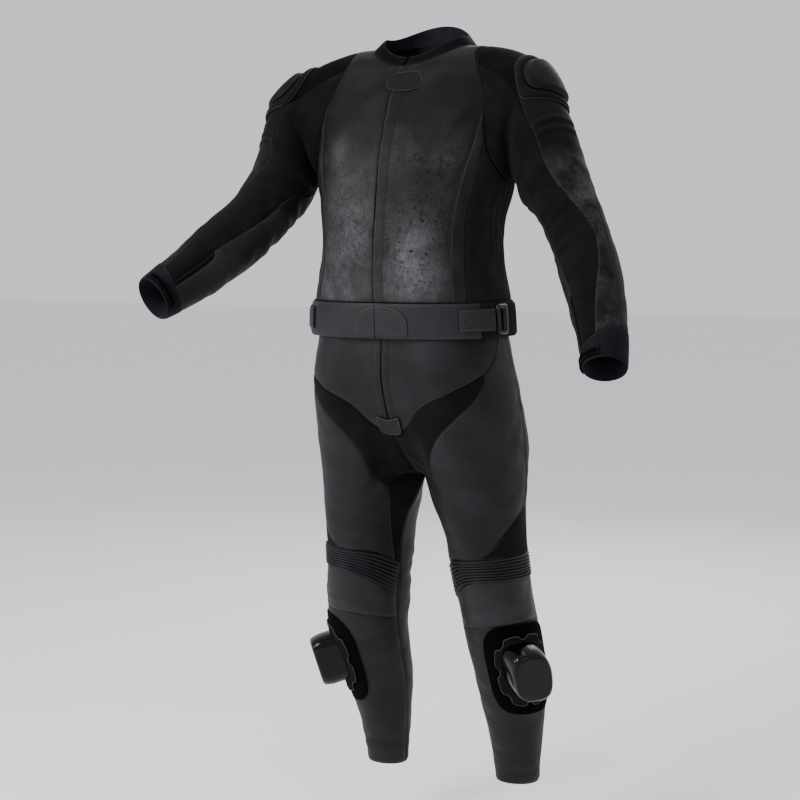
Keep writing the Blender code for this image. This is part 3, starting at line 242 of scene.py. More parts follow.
def sleeve(side, turn, station):
    """Turn 0 is the outside of the arm, 0.25 the front, 0.5 the inside, 0.75 the back."""
    arm = ARMS[side]
    last = len(arm["x"]) - 1
    row = np.clip(station - 1, 0, last)

    def centre(at):
        at = np.clip(at, 0, last)
        return stack(along(arm, "x", at), along(arm, "y", at), along(arm, "z", at))

    axis = unit(centre(row + AXIS_STEP) - centre(row - AXIS_STEP))
    out = np.array((side, 0.0, OUT_TILT))
    out = unit(out - axis * np.sum(axis * out, axis=-1, keepdims=True))
    front = np.cross(axis, out) * side
    angle = 2 * np.pi * turn
    outwards = np.cos(angle)
    half = np.where(outwards > 0, along(arm, "half_out", row), along(arm, "half_in", row))
    ring = (centre(row) + out * (half * outwards)[..., None]
            + front * (along(arm, "half_front", row) * np.sin(angle))[..., None])
    fall = np.maximum(along(arm, "drop", row), 0) * (0.5 - 0.5 * outwards) ** 2
    ring = ring - np.array((0, 0, 1.0)) * fall[..., None]
    start = torso(*armhole_place(turn)) * (side, 1, 1)
    over = (0.5 + 0.5 * np.cos(angle))[..., None]
    leave = unit(np.array(LEAVE[side])) * (LEAVE_UNDER + (LEAVE_OVER - LEAVE_UNDER) * over)
    arrive = axis * (ARRIVE_UNDER + (ARRIVE_OVER - ARRIVE_UNDER) * over)
    f = np.clip(station, 0, 1)[..., None]
    keep = 2 * f ** 3 - 3 * f ** 2 + 1
    blend = (keep * start + (f ** 3 - 2 * f ** 2 + f) * leave
             + (1 - keep) * ring + (f ** 3 - f ** 2) * arrive)
    return np.where((station < 1)[..., None], blend, ring)


def curve(first, pull_first, pull_last, last, share):
    """A cubic curve, read at a share of its length."""
    f = np.clip(share, 0, 1)[..., None]
    return ((1 - f) ** 3 * first + 3 * (1 - f) ** 2 * f * pull_first
            + 3 * (1 - f) * f ** 2 * pull_last + f ** 3 * last)


def leg(side, turn, station):
    """Turn 0 is the inner edge in front, 0.25 the front, 0.5 the outside, 0.75 the back."""
    row = {name: along(LEG, name, station) for name in LEG}
    mid, z, half, side_y = row["mid_x"], row["z"], row["half_out"], row["side_y"]
    edge_x = np.where(station < CROTCH, 0, np.maximum(row["edge_x"], 0))
    inseam = (row["edge_front_y"] + row["edge_back_y"]) / 2
    edge_front = np.where(station < CROTCH, row["edge_front_y"], inseam)
    edge_back = np.where(station < CROTCH, row["edge_back_y"], inseam)
    angle = np.radians(np.clip(row["turn"], 0, 90))
    x_axis, y_axis = np.array((1.0, 0, 0)), np.array((0, 1.0, 0))

    def quarter(edge_y, far_y, sign, share_in, share_out):
        """From the inner edge to the middle line, and on to the outside."""
        edge, far = stack(edge_x, edge_y, row["edge_z"]), stack(mid, far_y, z)
        outside = stack(mid + half, side_y, z)
        depth, width = np.abs(far_y - side_y), mid - edge_x
        pull = (depth * np.sin(angle) + width * np.cos(angle)) * ARC_PULL
        leave = stack(np.cos(angle), sign * np.sin(angle), 0 * angle) * pull[..., None]
        inner = curve(edge, edge + leave, far - x_axis * (width * ARC_PULL)[..., None], far, share_in)
        outer = curve(far, far + x_axis * (half * ARC_PULL)[..., None],
                      outside + y_axis * (sign * depth * ARC_PULL)[..., None], outside, share_out)
        return inner, outer

    front_in, front_out = quarter(edge_front, row["front_y"], -1, turn / 0.25, (turn - 0.25) / 0.25)
    back_in, back_out = quarter(edge_back, row["back_y"], 1, (1 - turn) / 0.25, (0.75 - turn) / 0.25)
    which = turn[..., None]
    point = np.where(which < 0.25, front_in, np.where(which < 0.5, front_out,
                     np.where(which < 0.75, back_out, back_in)))
    swing = np.radians(np.maximum(row["turnout"], 0)) * np.clip(point[..., 0] / CENTRE_FADE, 0, 1)
    across, deep = point[..., 0] - mid, point[..., 1] - side_y
    return stack(side * (mid + across * np.cos(swing) - deep * np.sin(swing)),
                 side_y + across * np.sin(swing) + deep * np.cos(swing), point[..., 2])


def collar(turn, station):
    """Station 0 is the neck seam, 1 the top edge."""
    lower = torso(turn, np.full_like(turn, NECK))
    return lower + (body_ring(COLLAR_TOP, turn) - lower) * station[..., None]


def surface_of(name, side=1):
    """A master surface, the sign that points its normals outwards, its name and its side."""
    if name == "torso":
        return (lambda turn, station: torso(side * turn, station)), side, name, side
    if name == "collar":
        return collar, 1, name, side
    limb, sign = (sleeve, side) if name == "sleeve" else (leg, -side)
    return (lambda turn, station: limb(side, turn, station)), sign, name, side


def points_and_normals(surface, places, lift=0.0):
    """Points above a surface and its outward unit normals at (turn, station) places."""
    face, sign = surface[:2]
    turn, station = places[..., 0], places[..., 1]
    across = face(turn + PROBE, station) - face(turn - PROBE, station)
    lengthwise = face(turn, station + PROBE) - face(turn, station - PROBE)
    normals = unit(np.cross(across, lengthwise)) * sign
    return face(turn, station) + normals * lift, normals


def seam(count, *stops):
    """A smooth line of count steps, each cut fine, through (turn, station) stops."""
    stops = np.array(stops, dtype=float)
    count *= DETAIL
    if len(stops) == 2:
        return stops[0] + (stops[1] - stops[0]) * np.linspace(0, 1, count + 1)[:, None]
    table = {"turn": stops[:, 0], "station": stops[:, 1]}
    at = np.linspace(0, len(stops) - 1, count + 1)
    return np.stack([along(table, "turn", at), along(table, "station", at)], axis=-1)


def join(*seams):
    """One line from several that follow each other."""
    return np.concatenate([seams[0]] + [line[1:] for line in seams[1:]])


def four_sided(steps_across, steps_up, first, second, third, fourth):
    """Places of the sheet between four corners, from its lower left one round to its upper left."""
    return between(seam(steps_across, first, second), seam(steps_up, second, third),
                   seam(steps_across, fourth, third), seam(steps_up, first, fourth))


def between(bottom, right, top, left):
    """Places of the sheet between four seams; bottom and top run left to right,
    left and right run bottom to top."""
    s = np.linspace(0, 1, len(bottom))[None, :, None]
    t = np.linspace(0, 1, len(left))[:, None, None]
    corners = ((1 - s) * (1 - t) * bottom[0] + s * (1 - t) * bottom[-1]
               + (1 - s) * t * top[0] + s * t * top[-1])
    return (1 - t) * bottom[None] + t * top[None] + (1 - s) * left[:, None] + s * right[:, None] - corners


def run_lengths(points, axis):
    """Distance along the rows or columns of a grid of points."""
    steps = np.linalg.norm(np.diff(points, axis=axis), axis=-1)
    zero = np.zeros_like(np.take(steps, [0], axis))
    return np.concatenate([zero, np.cumsum(steps, axis=axis)], axis=axis)


def resampled(grid, rows, columns):
    """A grid of places with another count of rows and columns."""
    for axis, count in ((0, rows), (1, columns)):
        at = np.linspace(0, grid.shape[axis] - 1, count)
        low = np.minimum(at.astype(int), grid.shape[axis] - 2)
        share = (at - low).reshape([-1 if axis == k else 1 for k in range(grid.ndim)])
        grid = np.take(grid, low, axis) * (1 - share) + np.take(grid, low + 1, axis) * share
    return grid


def to_pitch(surface, places, pitch, wrap=False):
    """The same places cut to a mesh pitch across and along the cloth."""
    closed = np.concatenate([places, places[:, :1] + (1, 0)], axis=1) if wrap else places
    points = points_and_normals(surface, closed)[0]
    size = run_lengths(points, 1)[:, -1].max(), run_lengths(points, 0)[-1].max()
    columns_wanted, rows_wanted = (max(4, int(run / step) + 1) for run, step in zip(size, pitch))
    made = resampled(closed, rows_wanted, columns_wanted)
    return made[:, :-1] if wrap else made


# ---- materials
STYLES = {}
WALL_OF = {"stretch": STRETCH, "side_stretch": STRETCH, "elastic": STRETCH, "zip_tape": STRETCH,
           "neoprene": NEOPRENE}          # all others are leather


class Nodes:
    """Short calls for building a node tree."""

    def __init__(self, name):
        self.name = name
        self.material = bpy.data.materials.new("finish_" + name)
        self.material.use_nodes = True
        self.tree = self.material.node_tree
        self.shader = self.tree.nodes["Principled BSDF"]
        self.place = self.node("TexCoord", "Object", {})

    def fill(self, socket, value):
        """Link a socket to another node's output, or set its value."""
        if isinstance(value, bpy.types.NodeSocket):
            self.tree.links.new(value, socket)
        elif socket.type == "RGBA":
            socket.default_value = (*value, 1.0)
        else:
            socket.default_value = value

    def node(self, kind, output, inputs, **settings):
        """A new node with its inputs filled, read at one of its outputs."""
        made = self.tree.nodes.new("ShaderNode" + kind)
        for key, value in settings.items():
            setattr(made, key, value)
        for key, value in inputs.items():
            self.fill(made.inputs[key], value)
        return made.outputs[output]

    def noise(self, scale, detail=4.0, roughness=0.55, distortion=0.0, place=None):
        inputs = {"Vector": place or self.place, "Scale": scale, "Detail": detail, "Roughness": roughness}
        return self.node("TexNoise", "Fac", {**inputs, "Distortion": distortion})

    def streaks(self, stretch, detail):
        """Fine noise drawn out along one axis."""
        place = self.node("Mapping", "Vector", {"Vector": self.place, "Scale": stretch})
        return self.noise(1.0, detail, 0.5, 0.0, place)

    def cells(self, scale):
        return self.node("TexVoronoi", "Distance", {"Vector": self.place, "Scale": scale})

    def bands(self, scale, distortion):
        return self.node("TexWave", "Fac", {"Vector": self.place, "Scale": scale, "Distortion": distortion},
                         bands_direction="Z")

    def attribute(self, name):
        return self.node("Attribute", "Fac", {}, attribute_name=name)

    def span(self, source, low, high, to_low=0.0, to_high=1.0):
        """The range low to high of a source, drawn out to another range."""
        return self.node("MapRange", "Result", {"Value": source, "From Min": low, "From Max": high,
                                                "To Min": to_low, "To Max": to_high})

    def math(self, operation, first, *others):
        """The operation applied to its sources one after the other."""
        for other in others:
            first = self.node("Math", "Value", {0: first, 1: other}, operation=operation)
        return first

    def mix(self, share, first, second):
        """Two colours mixed; these numbers are the node's own colour sockets."""
        return self.node("Mix", 2, {0: share, 6: first, 7: second}, data_type="RGBA")

    def bump(self, height, distance, strength, normal=None):
        inputs = {"Height": height, "Distance": distance, "Strength": strength}
        return self.node("Bump", "Normal", inputs if normal is None else {**inputs, "Normal": normal})

    def finish(self, colour, roughness, normal=None, **settings):
        """Fill the shader's sockets and keep the finish by its name."""
        inputs = {"Base Color": colour, "Roughness": roughness}
        inputs.update({key.replace("_", " "): value for key, value in settings.items()})
        if normal is not None:
            inputs["Normal"] = normal
        for key, value in inputs.items():
            self.fill(self.shader.inputs[key], value)
        STYLES[self.name] = self.material


def leather(name, dark, light, roughness, specular, edge_highlight=0.5):
    """Grained leather: cells and fine noise as bump, painted lighter on fold crests and seam edges as a
    highlight.
    """
    nodes = Nodes(name)
    cloud = nodes.span(nodes.noise(14.0, 8.0, 0.62, 0.4), 0.42, 0.75, 0.0, 0.30)
    fleck = nodes.span(nodes.noise(320.0, 5.0, 0.7), 0.40, 0.70, 0.0, 0.22)
    # painted highlight on the crests of folds and raised relief
    ridge = nodes.span(nodes.attribute("ridge_highlight"), 0.50, 1.0, 0.0, 0.30)
    # painted highlight along the rolled seam edges, as strong as the last argument
    edge = nodes.span(nodes.attribute("edge"), 0.2, 1.0, 0.0, edge_highlight)
    colour = nodes.mix(nodes.math("ADD", cloud, fleck, ridge, edge), dark, light)
    rough = nodes.span(nodes.noise(38.0), 0.3, 0.7, roughness - 0.05, roughness + 0.07)
    nodes.finish(colour, rough, grain(nodes), Specular_IOR_Level=specular)


def grain(nodes):
    """Fine grain of leather as a bump."""
    coarse = nodes.bump(nodes.cells(620.0), 0.00035, 0.35)
    return nodes.bump(nodes.noise(240.0, 6.0, 0.7), 0.0006, 0.30, coarse)


def worn_leather(name, dark, light, roughness, specular, calm):
    """Leather with grey worn patches, which on the lower chest also paint a highlight, and dark flecks
    where its attributes ask for them; calm is how little the clouds of those patches fade."""
    nodes = Nodes(name)
    # the first attribute holds grey worn patches with a painted highlight among them on the lower chest
    asked, specked = nodes.attribute("patina_and_highlight"), nodes.attribute("specks")
    cloud = nodes.span(nodes.noise(22.0, 6.0, 0.58, 0.7), 0.34, 0.66, calm, 1.0)
    mottle = nodes.span(nodes.noise(190.0, 7.0, 0.70, 0.3), 0.36, 0.64, 0.60, 1.0)
    streak = nodes.span(nodes.streaks((200.0, 200.0, 60.0), 6.0), 0.40, 0.60, 0.86, 1.0)
    patina_and_highlight = nodes.math("MULTIPLY", mottle, streak, cloud, asked)
    # painted highlight on the crests of folds, faint
    ridge = nodes.span(nodes.attribute("ridge_highlight"), 0.55, 1.0, 0.0, 0.02)
    # painted highlight along the rolled seam edges
    edge = nodes.span(nodes.attribute("edge"), 0.2, 1.0, 0.0, 0.07)
    worn = nodes.mix(nodes.math("ADD", ridge, edge, patina_and_highlight), dark, light)
    speck = nodes.span(nodes.noise(210.0, 3.0, 0.55, 0.8), 0.55, 0.61)
    chance = nodes.span(nodes.noise(46.0, 4.0, 0.6), 0.45, 0.52)
    fleck = nodes.math("MULTIPLY", speck, chance, specked)
    blot = nodes.span(nodes.noise(48.0, 4.0, 0.55, 1.2), 0.56, 0.66, 0.0, 0.60)
    scratch = nodes.span(nodes.streaks((330.0, 330.0, 90.0), 3.0), 0.62, 0.68, 0.0, 0.35)
    marks = nodes.math("MAXIMUM", fleck, nodes.math("MULTIPLY", blot, specked),
                       nodes.math("MULTIPLY", scratch, asked))
    colour = nodes.mix(marks, worn, tuple(0.3 * value for value in dark))
    rough = nodes.span(nodes.noise(30.0, 6.0), 0.3, 0.7, roughness - 0.06, roughness + 0.10)
    nodes.finish(colour, rough, grain(nodes), Specular_IOR_Level=specular)


def stretch_cloth(name, dark, light, rib):
    """Matte stretch cloth with fine ribs."""
    nodes = Nodes(name)
    colour = nodes.mix(nodes.span(nodes.noise(30.0, 5.0), 0.35, 0.7), dark, light)
    normal = nodes.bump(nodes.cells(1100.0), 0.0003, 0.5, nodes.bump(nodes.bands(rib, 0.6), 0.0003, 0.6))
    nodes.finish(colour, 0.92, normal, Specular_IOR_Level=0.04, Sheen_Weight=0.02, Sheen_Roughness=0.6)


def napped_cloth(name, dark, light):
    """Dense looped fastening field."""
    nodes = Nodes(name)
    loops = nodes.noise(900.0, 3.0, 0.7)
    colour = nodes.mix(nodes.span(loops, 0.35, 0.7), dark, light)
    nodes.finish(colour, 1.0, nodes.bump(loops, 0.0008, 0.8), Specular_IOR_Level=0.02, Sheen_Weight=0.01)


def moulded(name, colour, second, roughness, specular, coat=0.0):
    """Moulded plastic with faint scuffs."""
    nodes = Nodes(name)
    scuff = nodes.noise(55.0, 8.0, 0.7, 0.8)
    tint = nodes.mix(nodes.span(scuff, 0.5, 0.8), colour, second)
    rough = nodes.span(scuff, 0.35, 0.8, roughness, roughness + 0.12)
    nodes.finish(tint, rough, nodes.bump(nodes.noise(700.0, 3.0), 0.0002, 0.12),
                 Specular_IOR_Level=specular, Coat_Weight=coat, Coat_Roughness=0.06)


def make_materials():
    """Every finish of the suit."""
    leather("leather", (0.0016, 0.0015, 0.0016), (0.0095, 0.0090, 0.0096), 0.66, 0.07)
    leather("dark_leather", (0.0008, 0.0008, 0.0008), (0.0060, 0.0057, 0.0060), 0.72, 0.035)
    leather("strip_leather", (0.0046, 0.0043, 0.0046), (0.0190, 0.0180, 0.0190), 0.62, 0.14)
    leather("trouser", (0.0042, 0.0039, 0.0053), (0.0150, 0.0141, 0.0172), 0.56, 0.17, 0.12)
    worn_leather("worn_leather", (0.0029, 0.0026, 0.0029), (0.145, 0.135, 0.147), 0.60, 0.12, 0.45)
    worn_leather("sleeve_worn", (0.0014, 0.0014, 0.0015), (0.075, 0.079, 0.083), 0.64, 0.07, 0.02)
    leather("knee_leather", (0.0058, 0.0054, 0.0069), (0.0200, 0.0190, 0.0222), 0.50, 0.21, 0.2)
    leather("belt", (0.0100, 0.0094, 0.0116), (0.0260, 0.0250, 0.0290), 0.58, 0.18)
    stretch_cloth("stretch", (0.0028, 0.0025, 0.0026), (0.0052, 0.0046, 0.0048), 260.0)
    # the side panels' stretch cloth, painted lighter to undo the shade of the arms over it
    stretch_cloth("side_stretch", (0.0060, 0.0055, 0.0058), (0.0105, 0.0098, 0.0102), 260.0)
    stretch_cloth("elastic", (0.0040, 0.0038, 0.0040), (0.0070, 0.0066, 0.0070), 200.0)
    stretch_cloth("lining", (0.0110, 0.0110, 0.0150), (0.0200, 0.0200, 0.0270), 160.0)
    stretch_cloth("zip_tape", (0.0010, 0.0010, 0.0011), (0.0025, 0.0025, 0.0026), 500.0)
    leather("neoprene", (0.0034, 0.0033, 0.0052), (0.0080, 0.0078, 0.0120), 0.75, 0.08)
    napped_cloth("hook", (0.0006, 0.0005, 0.0006), (0.0022, 0.0019, 0.0021))
    napped_cloth("base", (0.0045, 0.0044, 0.0047), (0.0120, 0.0118, 0.0124))
    moulded("buckle", (0.0030, 0.0030, 0.0033), (0.0080, 0.0080, 0.0085), 0.40, 0.30)
    moulded("slider", (0.0006, 0.0006, 0.0007), (0.0016, 0.0016, 0.0017), 0.12, 0.15, 0.06)
    moulded("cup", (0.0016, 0.0016, 0.0016), (0.0050, 0.0049, 0.0050), 0.55, 0.12)
    # pale tubes on the flap's fold, the shoulder rings' rims and the neck tab's edge: a painted highlight
    moulded("pale_highlight_tube", (0.0220, 0.0215, 0.0225), (0.045, 0.044, 0.046), 0.5, 0.25)
    # pale tubes round the knee base plates and the fly patch: bound edges painted pale as their highlight
    moulded("bound_edge_highlight", (0.030, 0.030, 0.031), (0.080, 0.080, 0.083), 0.5, 0.2)
    moulded("thread", (0.034, 0.031, 0.032), (0.058, 0.052, 0.054), 0.7, 0.15)
    moulded("pale_thread", (0.060, 0.057, 0.060), (0.095, 0.090, 0.095), 0.7, 0.15)
    moulded("teeth", (0.0020, 0.0020, 0.0021), (0.0080, 0.0080, 0.0084), 0.45, 0.2)


# ---- relief of the cloth
ROLL_DEPTH, ROLL_WIDTH = 0.0016, 0.0030    # how far and how wide an edge rolls into its seam
EDGE_CALM = 0.012                          # folds fade out this near a seam
CREASES = {     # side (0 both), from and to (turn, station), bow in stations, depth and width in mm
    "torso": (
        (0, 0.34, 3.55, 0.52, 3.10, -0.08, 1.6, 7), (0, 0.36, 2.95, 0.56, 2.70, 0.06, 2.0, 8),
        (0, 0.33, 2.45, 0.46, 2.50, -0.05, 1.2, 6), (0, 0.35, 1.95, 0.58, 1.80, 0.05, 1.8, 8),
        (0, 0.31, 1.45, 0.44, 1.55, 0.04, 1.1, 6), (1, 0.27, 5.60, 0.20, 4.90, 0.10, 1.8, 10),
        (1, 0.26, 4.90, 0.21, 4.30, -0.05, 1.2, 8), (-1, 0.28, 5.50, 0.19, 5.00, 0.12, 2.0, 10),
        (-1, 0.26, 4.70, 0.19, 4.45, 0.05, 1.3, 9), (0, 0.23, 1.35, 0.08, 1.25, 0.06, 1.0, 9),
        (0, 0.22, 1.75, 0.13, 1.60, -0.05, 0.9, 8), (1, 0.11, 7.45, 0.26, 6.95, 0.08, 1.3, 12),
        (-1, 0.10, 7.50, 0.28, 7.00, 0.10, 1.4, 12), (0, 0.66, 3.30, 0.88, 2.80, -0.10, 2.4, 12),
        (0, 0.67, 2.60, 0.94, 2.35, 0.08, 2.0, 11), (0, 0.66, 2.05, 0.86, 1.90, -0.06, 2.2, 11),
        (0, 0.70, 1.50, 0.97, 1.42, 0.05, 1.6, 9), (0, 0.69, 5.30, 0.82, 4.50, 0.15, 2.6, 14),
        (0, 0.70, 6.20, 0.85, 5.70, 0.12, 1.8, 12), (0, 0.92, 4.40, 0.99, 3.60, 0.00, 1.4, 14),
    ),
    "sleeve": (
        (0, 0.20, 0.35, 0.34, 0.95, 0.05, 2.4, 9), (0, 0.26, 0.25, 0.42, 0.70, 0.10, 2.0, 8),
        (0, 0.58, 0.45, 0.74, 0.95, -0.06, 2.4, 9), (0, 0.24, 1.60, 0.44, 1.95, 0.10, 1.6, 8),
        (0, 0.22, 2.45, 0.38, 2.75, -0.08, 1.8, 8), (0, 0.24, 3.20, 0.45, 3.35, 0.12, 2.4, 8),
        (0, 0.20, 3.62, 0.40, 3.80, -0.10, 2.8, 8), (0, 0.25, 4.05, 0.47, 4.12, 0.10, 2.4, 7),
        (0, 0.22, 4.50, 0.38, 4.62, -0.06, 1.8, 7), (0, 0.26, 5.10, 0.40, 5.30, 0.08, 1.4, 7),
        (0, 0.24, 5.80, 0.34, 5.95, 0.05, 1.1, 7), (0, 0.48, 2.60, 0.66, 2.85, 0.10, 2.4, 10),
        (0, 0.45, 3.25, 0.62, 3.40, -0.10, 2.6, 9), (0, 0.47, 3.85, 0.70, 4.00, 0.10, 2.6, 9),
        (0, 0.44, 4.50, 0.60, 4.75, -0.08, 2.0, 9), (0, 0.46, 5.35, 0.62, 5.55, 0.08, 1.8, 9),
        (0, 0.50, 6.15, 0.66, 6.35, -0.05, 1.6, 8), (0, 0.78, 1.30, 0.95, 1.75, 0.06, 1.6, 10),
        (0, 0.74, 2.30, 0.92, 2.55, -0.08, 1.8, 10), (0, 0.76, 4.80, 0.93, 5.00, 0.06, 1.6, 9),
        (0, 0.80, 5.90, 0.96, 6.10, -0.05, 1.4, 9), (1, 0.06, 1.85, 0.16, 2.35, 0.10, 1.2, 9),
        (1, 0.03, 2.70, 0.12, 3.05, -0.06, 1.4, 8), (0, 0.09, 4.70, 0.14, 5.30, 0.00, 1.0, 7),
        (0, 0.10, 6.00, 0.17, 6.35, 0.05, 1.1, 8),
    ),
    "leg": (
        (0, 0.03, 3.10, 0.12, 4.00, 0.05, 1.8, 9), (0, 0.02, 3.70, 0.14, 4.55, 0.08, 2.2, 10),
        (0, 0.01, 4.40, 0.10, 5.15, 0.06, 1.8, 9), (0, 0.16, 4.10, 0.27, 4.00, -0.05, 1.0, 12),
        (0, 0.40, 2.20, 0.50, 2.70, 0.05, 1.2, 12), (0, 0.36, 5.20, 0.50, 5.10, 0.06, 1.4, 10),
        (0, 0.12, 6.20, 0.24, 6.10, 0.06, 1.2, 9), (0, 0.10, 7.95, 0.30, 7.72, 0.10, 1.0, 7),
        (0, 0.12, 8.20, 0.34, 7.98, -0.06, 1.2, 7), (0, 0.20, 8.32, 0.42, 8.10, 0.05, 0.9, 6),
        (0, 0.28, 7.55, 0.45, 7.70, 0.05, 0.8, 7), (0, 0.05, 9.20, 0.16, 9.45, 0.05, 1.0, 10),
        (0, 0.08, 12.60, 0.30, 12.85, 0.10, 1.0, 9), (0, 0.12, 13.25, 0.40, 13.10, -0.10, 1.2, 8),
        (0, 0.30, 13.60, 0.46, 13.45, 0.05, 1.0, 7), (0, 0.58, 3.40, 0.78, 4.10, 0.10, 2.4, 14),
        (0, 0.70, 4.20, 0.95, 4.60, 0.10, 3.0, 13), (0, 0.66, 4.95, 0.97, 5.15, 0.12, 2.4, 12),
        (0, 0.60, 2.20, 0.82, 2.60, 0.05, 1.6, 14), (0, 0.62, 6.90, 0.92, 7.05, 0.12, 2.6, 10),
        (0, 0.60, 7.45, 0.95, 7.55, -0.10, 3.2, 10), (0, 0.63, 8.00, 0.90, 8.10, 0.10, 3.0, 9),
        (0, 0.60, 8.60, 0.88, 8.75, -0.10, 2.2, 9), (0, 0.66, 9.40, 0.86, 9.60, 0.08, 1.6, 10),
        (0, 0.62, 12.30, 0.90, 12.50, 0.08, 1.8, 9), (0, 0.64, 12.95, 0.94, 13.10, -0.08, 2.0, 9),
    ),
}
LIP_SHARE, LIP_PLACE, LIP_WIDTH = 0.45, 1.75, 0.75     # ridge on both sides of a crease
CREASE_STEPS, CREASE_REACH = 17, 3.5       # points along a crease, and widths that it reaches
SWELLS = (                # soft undulation: direction, wavelength (m), height (m)
    ((0.8, 0.2, 0.6), 0.120, 0.0009),
    ((-0.5, 0.7, 0.7), 0.083, 0.0007),
    ((0.3, -0.9, 0.5), 0.061, 0.0004),
    ((0.1, 0.4, 1.0), 0.047, 0.0003),
)


def crease_field(points, surface):
    """Height of all creases of a surface at its points."""
    name, own_side = surface[2:]
    height = np.zeros(points.shape[:2])
    flat = points.reshape(-1, 3)
    share = np.linspace(0, 1, CREASE_STEPS)
    for side, turn_a, station_a, turn_b, station_b, bow, depth_mm, width_mm in CREASES.get(name, ()):
        depth, width = depth_mm / 1000, width_mm / 1000
        turn = turn_a + (turn_b - turn_a) * share
        station = station_a + (station_b - station_a) * share + bow * np.sin(np.pi * share)
        for hand in (1, -1) if name == "torso" else (own_side,):
            line = surface_of(name, hand)[0](turn, station)
            reach = CREASE_REACH * width
            near = np.all((flat > line.min(0) - reach) & (flat < line.max(0) + reach), axis=1)
            if side not in (0, hand) or not near.any():
                continue
            gaps = np.linalg.norm(flat[near][:, None] - line[None], axis=-1)
            closest = np.argmin(gaps, axis=1)
            radius = gaps[np.arange(len(gaps)), closest] / width
            taper = np.sin(np.pi * np.clip(share[closest], 0.03, 0.97)) ** 0.7
            lips = np.exp(-((radius - LIP_PLACE) / LIP_WIDTH) ** 2) * LIP_SHARE
            height.reshape(-1)[near] += depth * taper * (lips - np.exp(-radius ** 2))
    return height


def swell(points):
    """Soft undulation of loose cloth."""
    height = np.zeros(points.shape[:2])
    for index, (direction, wavelength, size) in enumerate(SWELLS):
        phase = points @ unit(np.array(direction)) * 2 * np.pi / wavelength + index * 1.7
        height += size * np.sin(phase + 1.3 * np.sin(phase * 0.37 + index))
    return height


FAR = 1.0                 # farther than any point of a panel is from its edge


def edge_distance(points, wrap, skipped=()):
    """Distance of each point to the nearest edge of its panel, along the cloth."""
    up, across = run_lengths(points, 0), run_lengths(points, 1)
    ways = {"bottom": up, "top": up[-1:] - up}
    if not wrap:
        ways.update({"left": across, "right": across[:, -1:] - across})
    kept = [way for edge, way in ways.items() if edge not in skipped]
    return np.min([np.full(points.shape[:2], FAR)] + kept, axis=0)


PATINA_AND_HIGHLIGHT = {                # grey worn patches, which on the lower chest also paint a highlight: x, z, half width, half height, strength
    "front": (
        (0.066, -0.300, 0.024, 0.042, 0.70), (0.080, -0.355, 0.038, 0.033, 0.30),
        (0.050, -0.370, 0.060, 0.030, 0.12), (0.112, -0.215, 0.018, 0.070, 0.10),
        (0.112, -0.135, 0.020, 0.014, 0.18), (0.045, -0.160, 0.050, 0.040, 0.05),
        (0.060, -0.120, 0.045, 0.020, 0.07), (-0.045, -0.290, 0.040, 0.060, 0.22),
        (-0.075, -0.215, 0.035, 0.060, 0.22), (-0.090, -0.130, 0.016, 0.020, 0.28),
        (-0.085, -0.340, 0.035, 0.050, 0.30), (-0.030, -0.200, 0.040, 0.060, 0.14),
        (-0.060, -0.375, 0.050, 0.016, 0.22),
    ),
    "sleeve_outer": (
        (0.318, -0.155, 0.026, 0.016, 0.50), (0.338, -0.195, 0.028, 0.028, 0.55),
        (0.368, -0.245, 0.022, 0.026, 0.5), (0.415, -0.360, 0.030, 0.035, 0.35),
        (0.445, -0.425, 0.030, 0.040, 0.4), (0.395, -0.300, 0.015, 0.030, 0.15),
        (-0.260, -0.150, 0.050, 0.040, 0.15), (-0.300, -0.300, 0.040, 0.040, 0.20),
    ),
}
SPECKED = (               # patches of dark flecks, as above
    (0.040, -0.112, 0.040, 0.012, 1.6), (0.090, -0.118, 0.030, 0.008, 1.6),
    (0.050, -0.135, 0.030, 0.015, 1.2), (0.090, -0.155, 0.030, 0.015, 1.2),
    (0.040, -0.260, 0.040, 0.050, 0.8), (0.080, -0.230, 0.030, 0.040, 0.9),
    (0.065, -0.330, 0.050, 0.050, 0.5), (-0.060, -0.250, 0.060, 0.120, 0.5),
    (0.350, -0.300, 0.080, 0.200, 0.7), (-0.280, -0.250, 0.080, 0.150, 0.7),
)


def spots(points, rows):
    """Sum of soft patches at the points of a panel's front."""
    total = np.zeros(points.shape[:2])
    for x, z, half_width, half_height, strength in rows:
        across = (points[..., 0] - x) / half_width
        up = (points[..., 2] - z) / half_height
        total += strength * np.exp(-(across ** 2 + up ** 2) / 2)
    return total


# ---- meshes
def add_mesh(name, points, faces, styles, face_styles=None, fields=None, smooth=60):
    """A named object from arrays of points and faces; fields are values for each point."""
    mesh = bpy.data.meshes.new(name)
    faces = [np.asarray(part) for part in faces]
    counts = np.concatenate([np.full(len(part), part.shape[1]) for part in faces])
    loops = np.concatenate([part.reshape(-1) for part in faces])
    mesh.vertices.add(len(points))
    mesh.vertices.foreach_set("co", np.asarray(points, dtype=np.float32).reshape(-1))
    mesh.loops.add(len(loops))
    mesh.loops.foreach_set("vertex_index", loops.astype(np.int32))
    mesh.polygons.add(len(counts))
    mesh.polygons.foreach_set("loop_start", (np.cumsum(counts) - counts).astype(np.int32))
    for style in styles:
        mesh.materials.append(STYLES[style])
    if face_styles is not None:
        mesh.polygons.foreach_set("material_index", face_styles.astype(np.int32))
    mesh.update(calc_edges=True)
    mesh.validate()
    for key, values in (fields or {}).items():
        kept = mesh.attributes.new(key, "FLOAT", "POINT").data
        kept.foreach_set("value", values.astype(np.float32).reshape(-1))
    mesh.shade_smooth()
    mesh.set_sharp_from_angle(angle=math.radians(smooth))
    made = bpy.data.objects.new(name, mesh)
    bpy.context.scene.collection.objects.link(made)
    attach(made, "root")
    return made


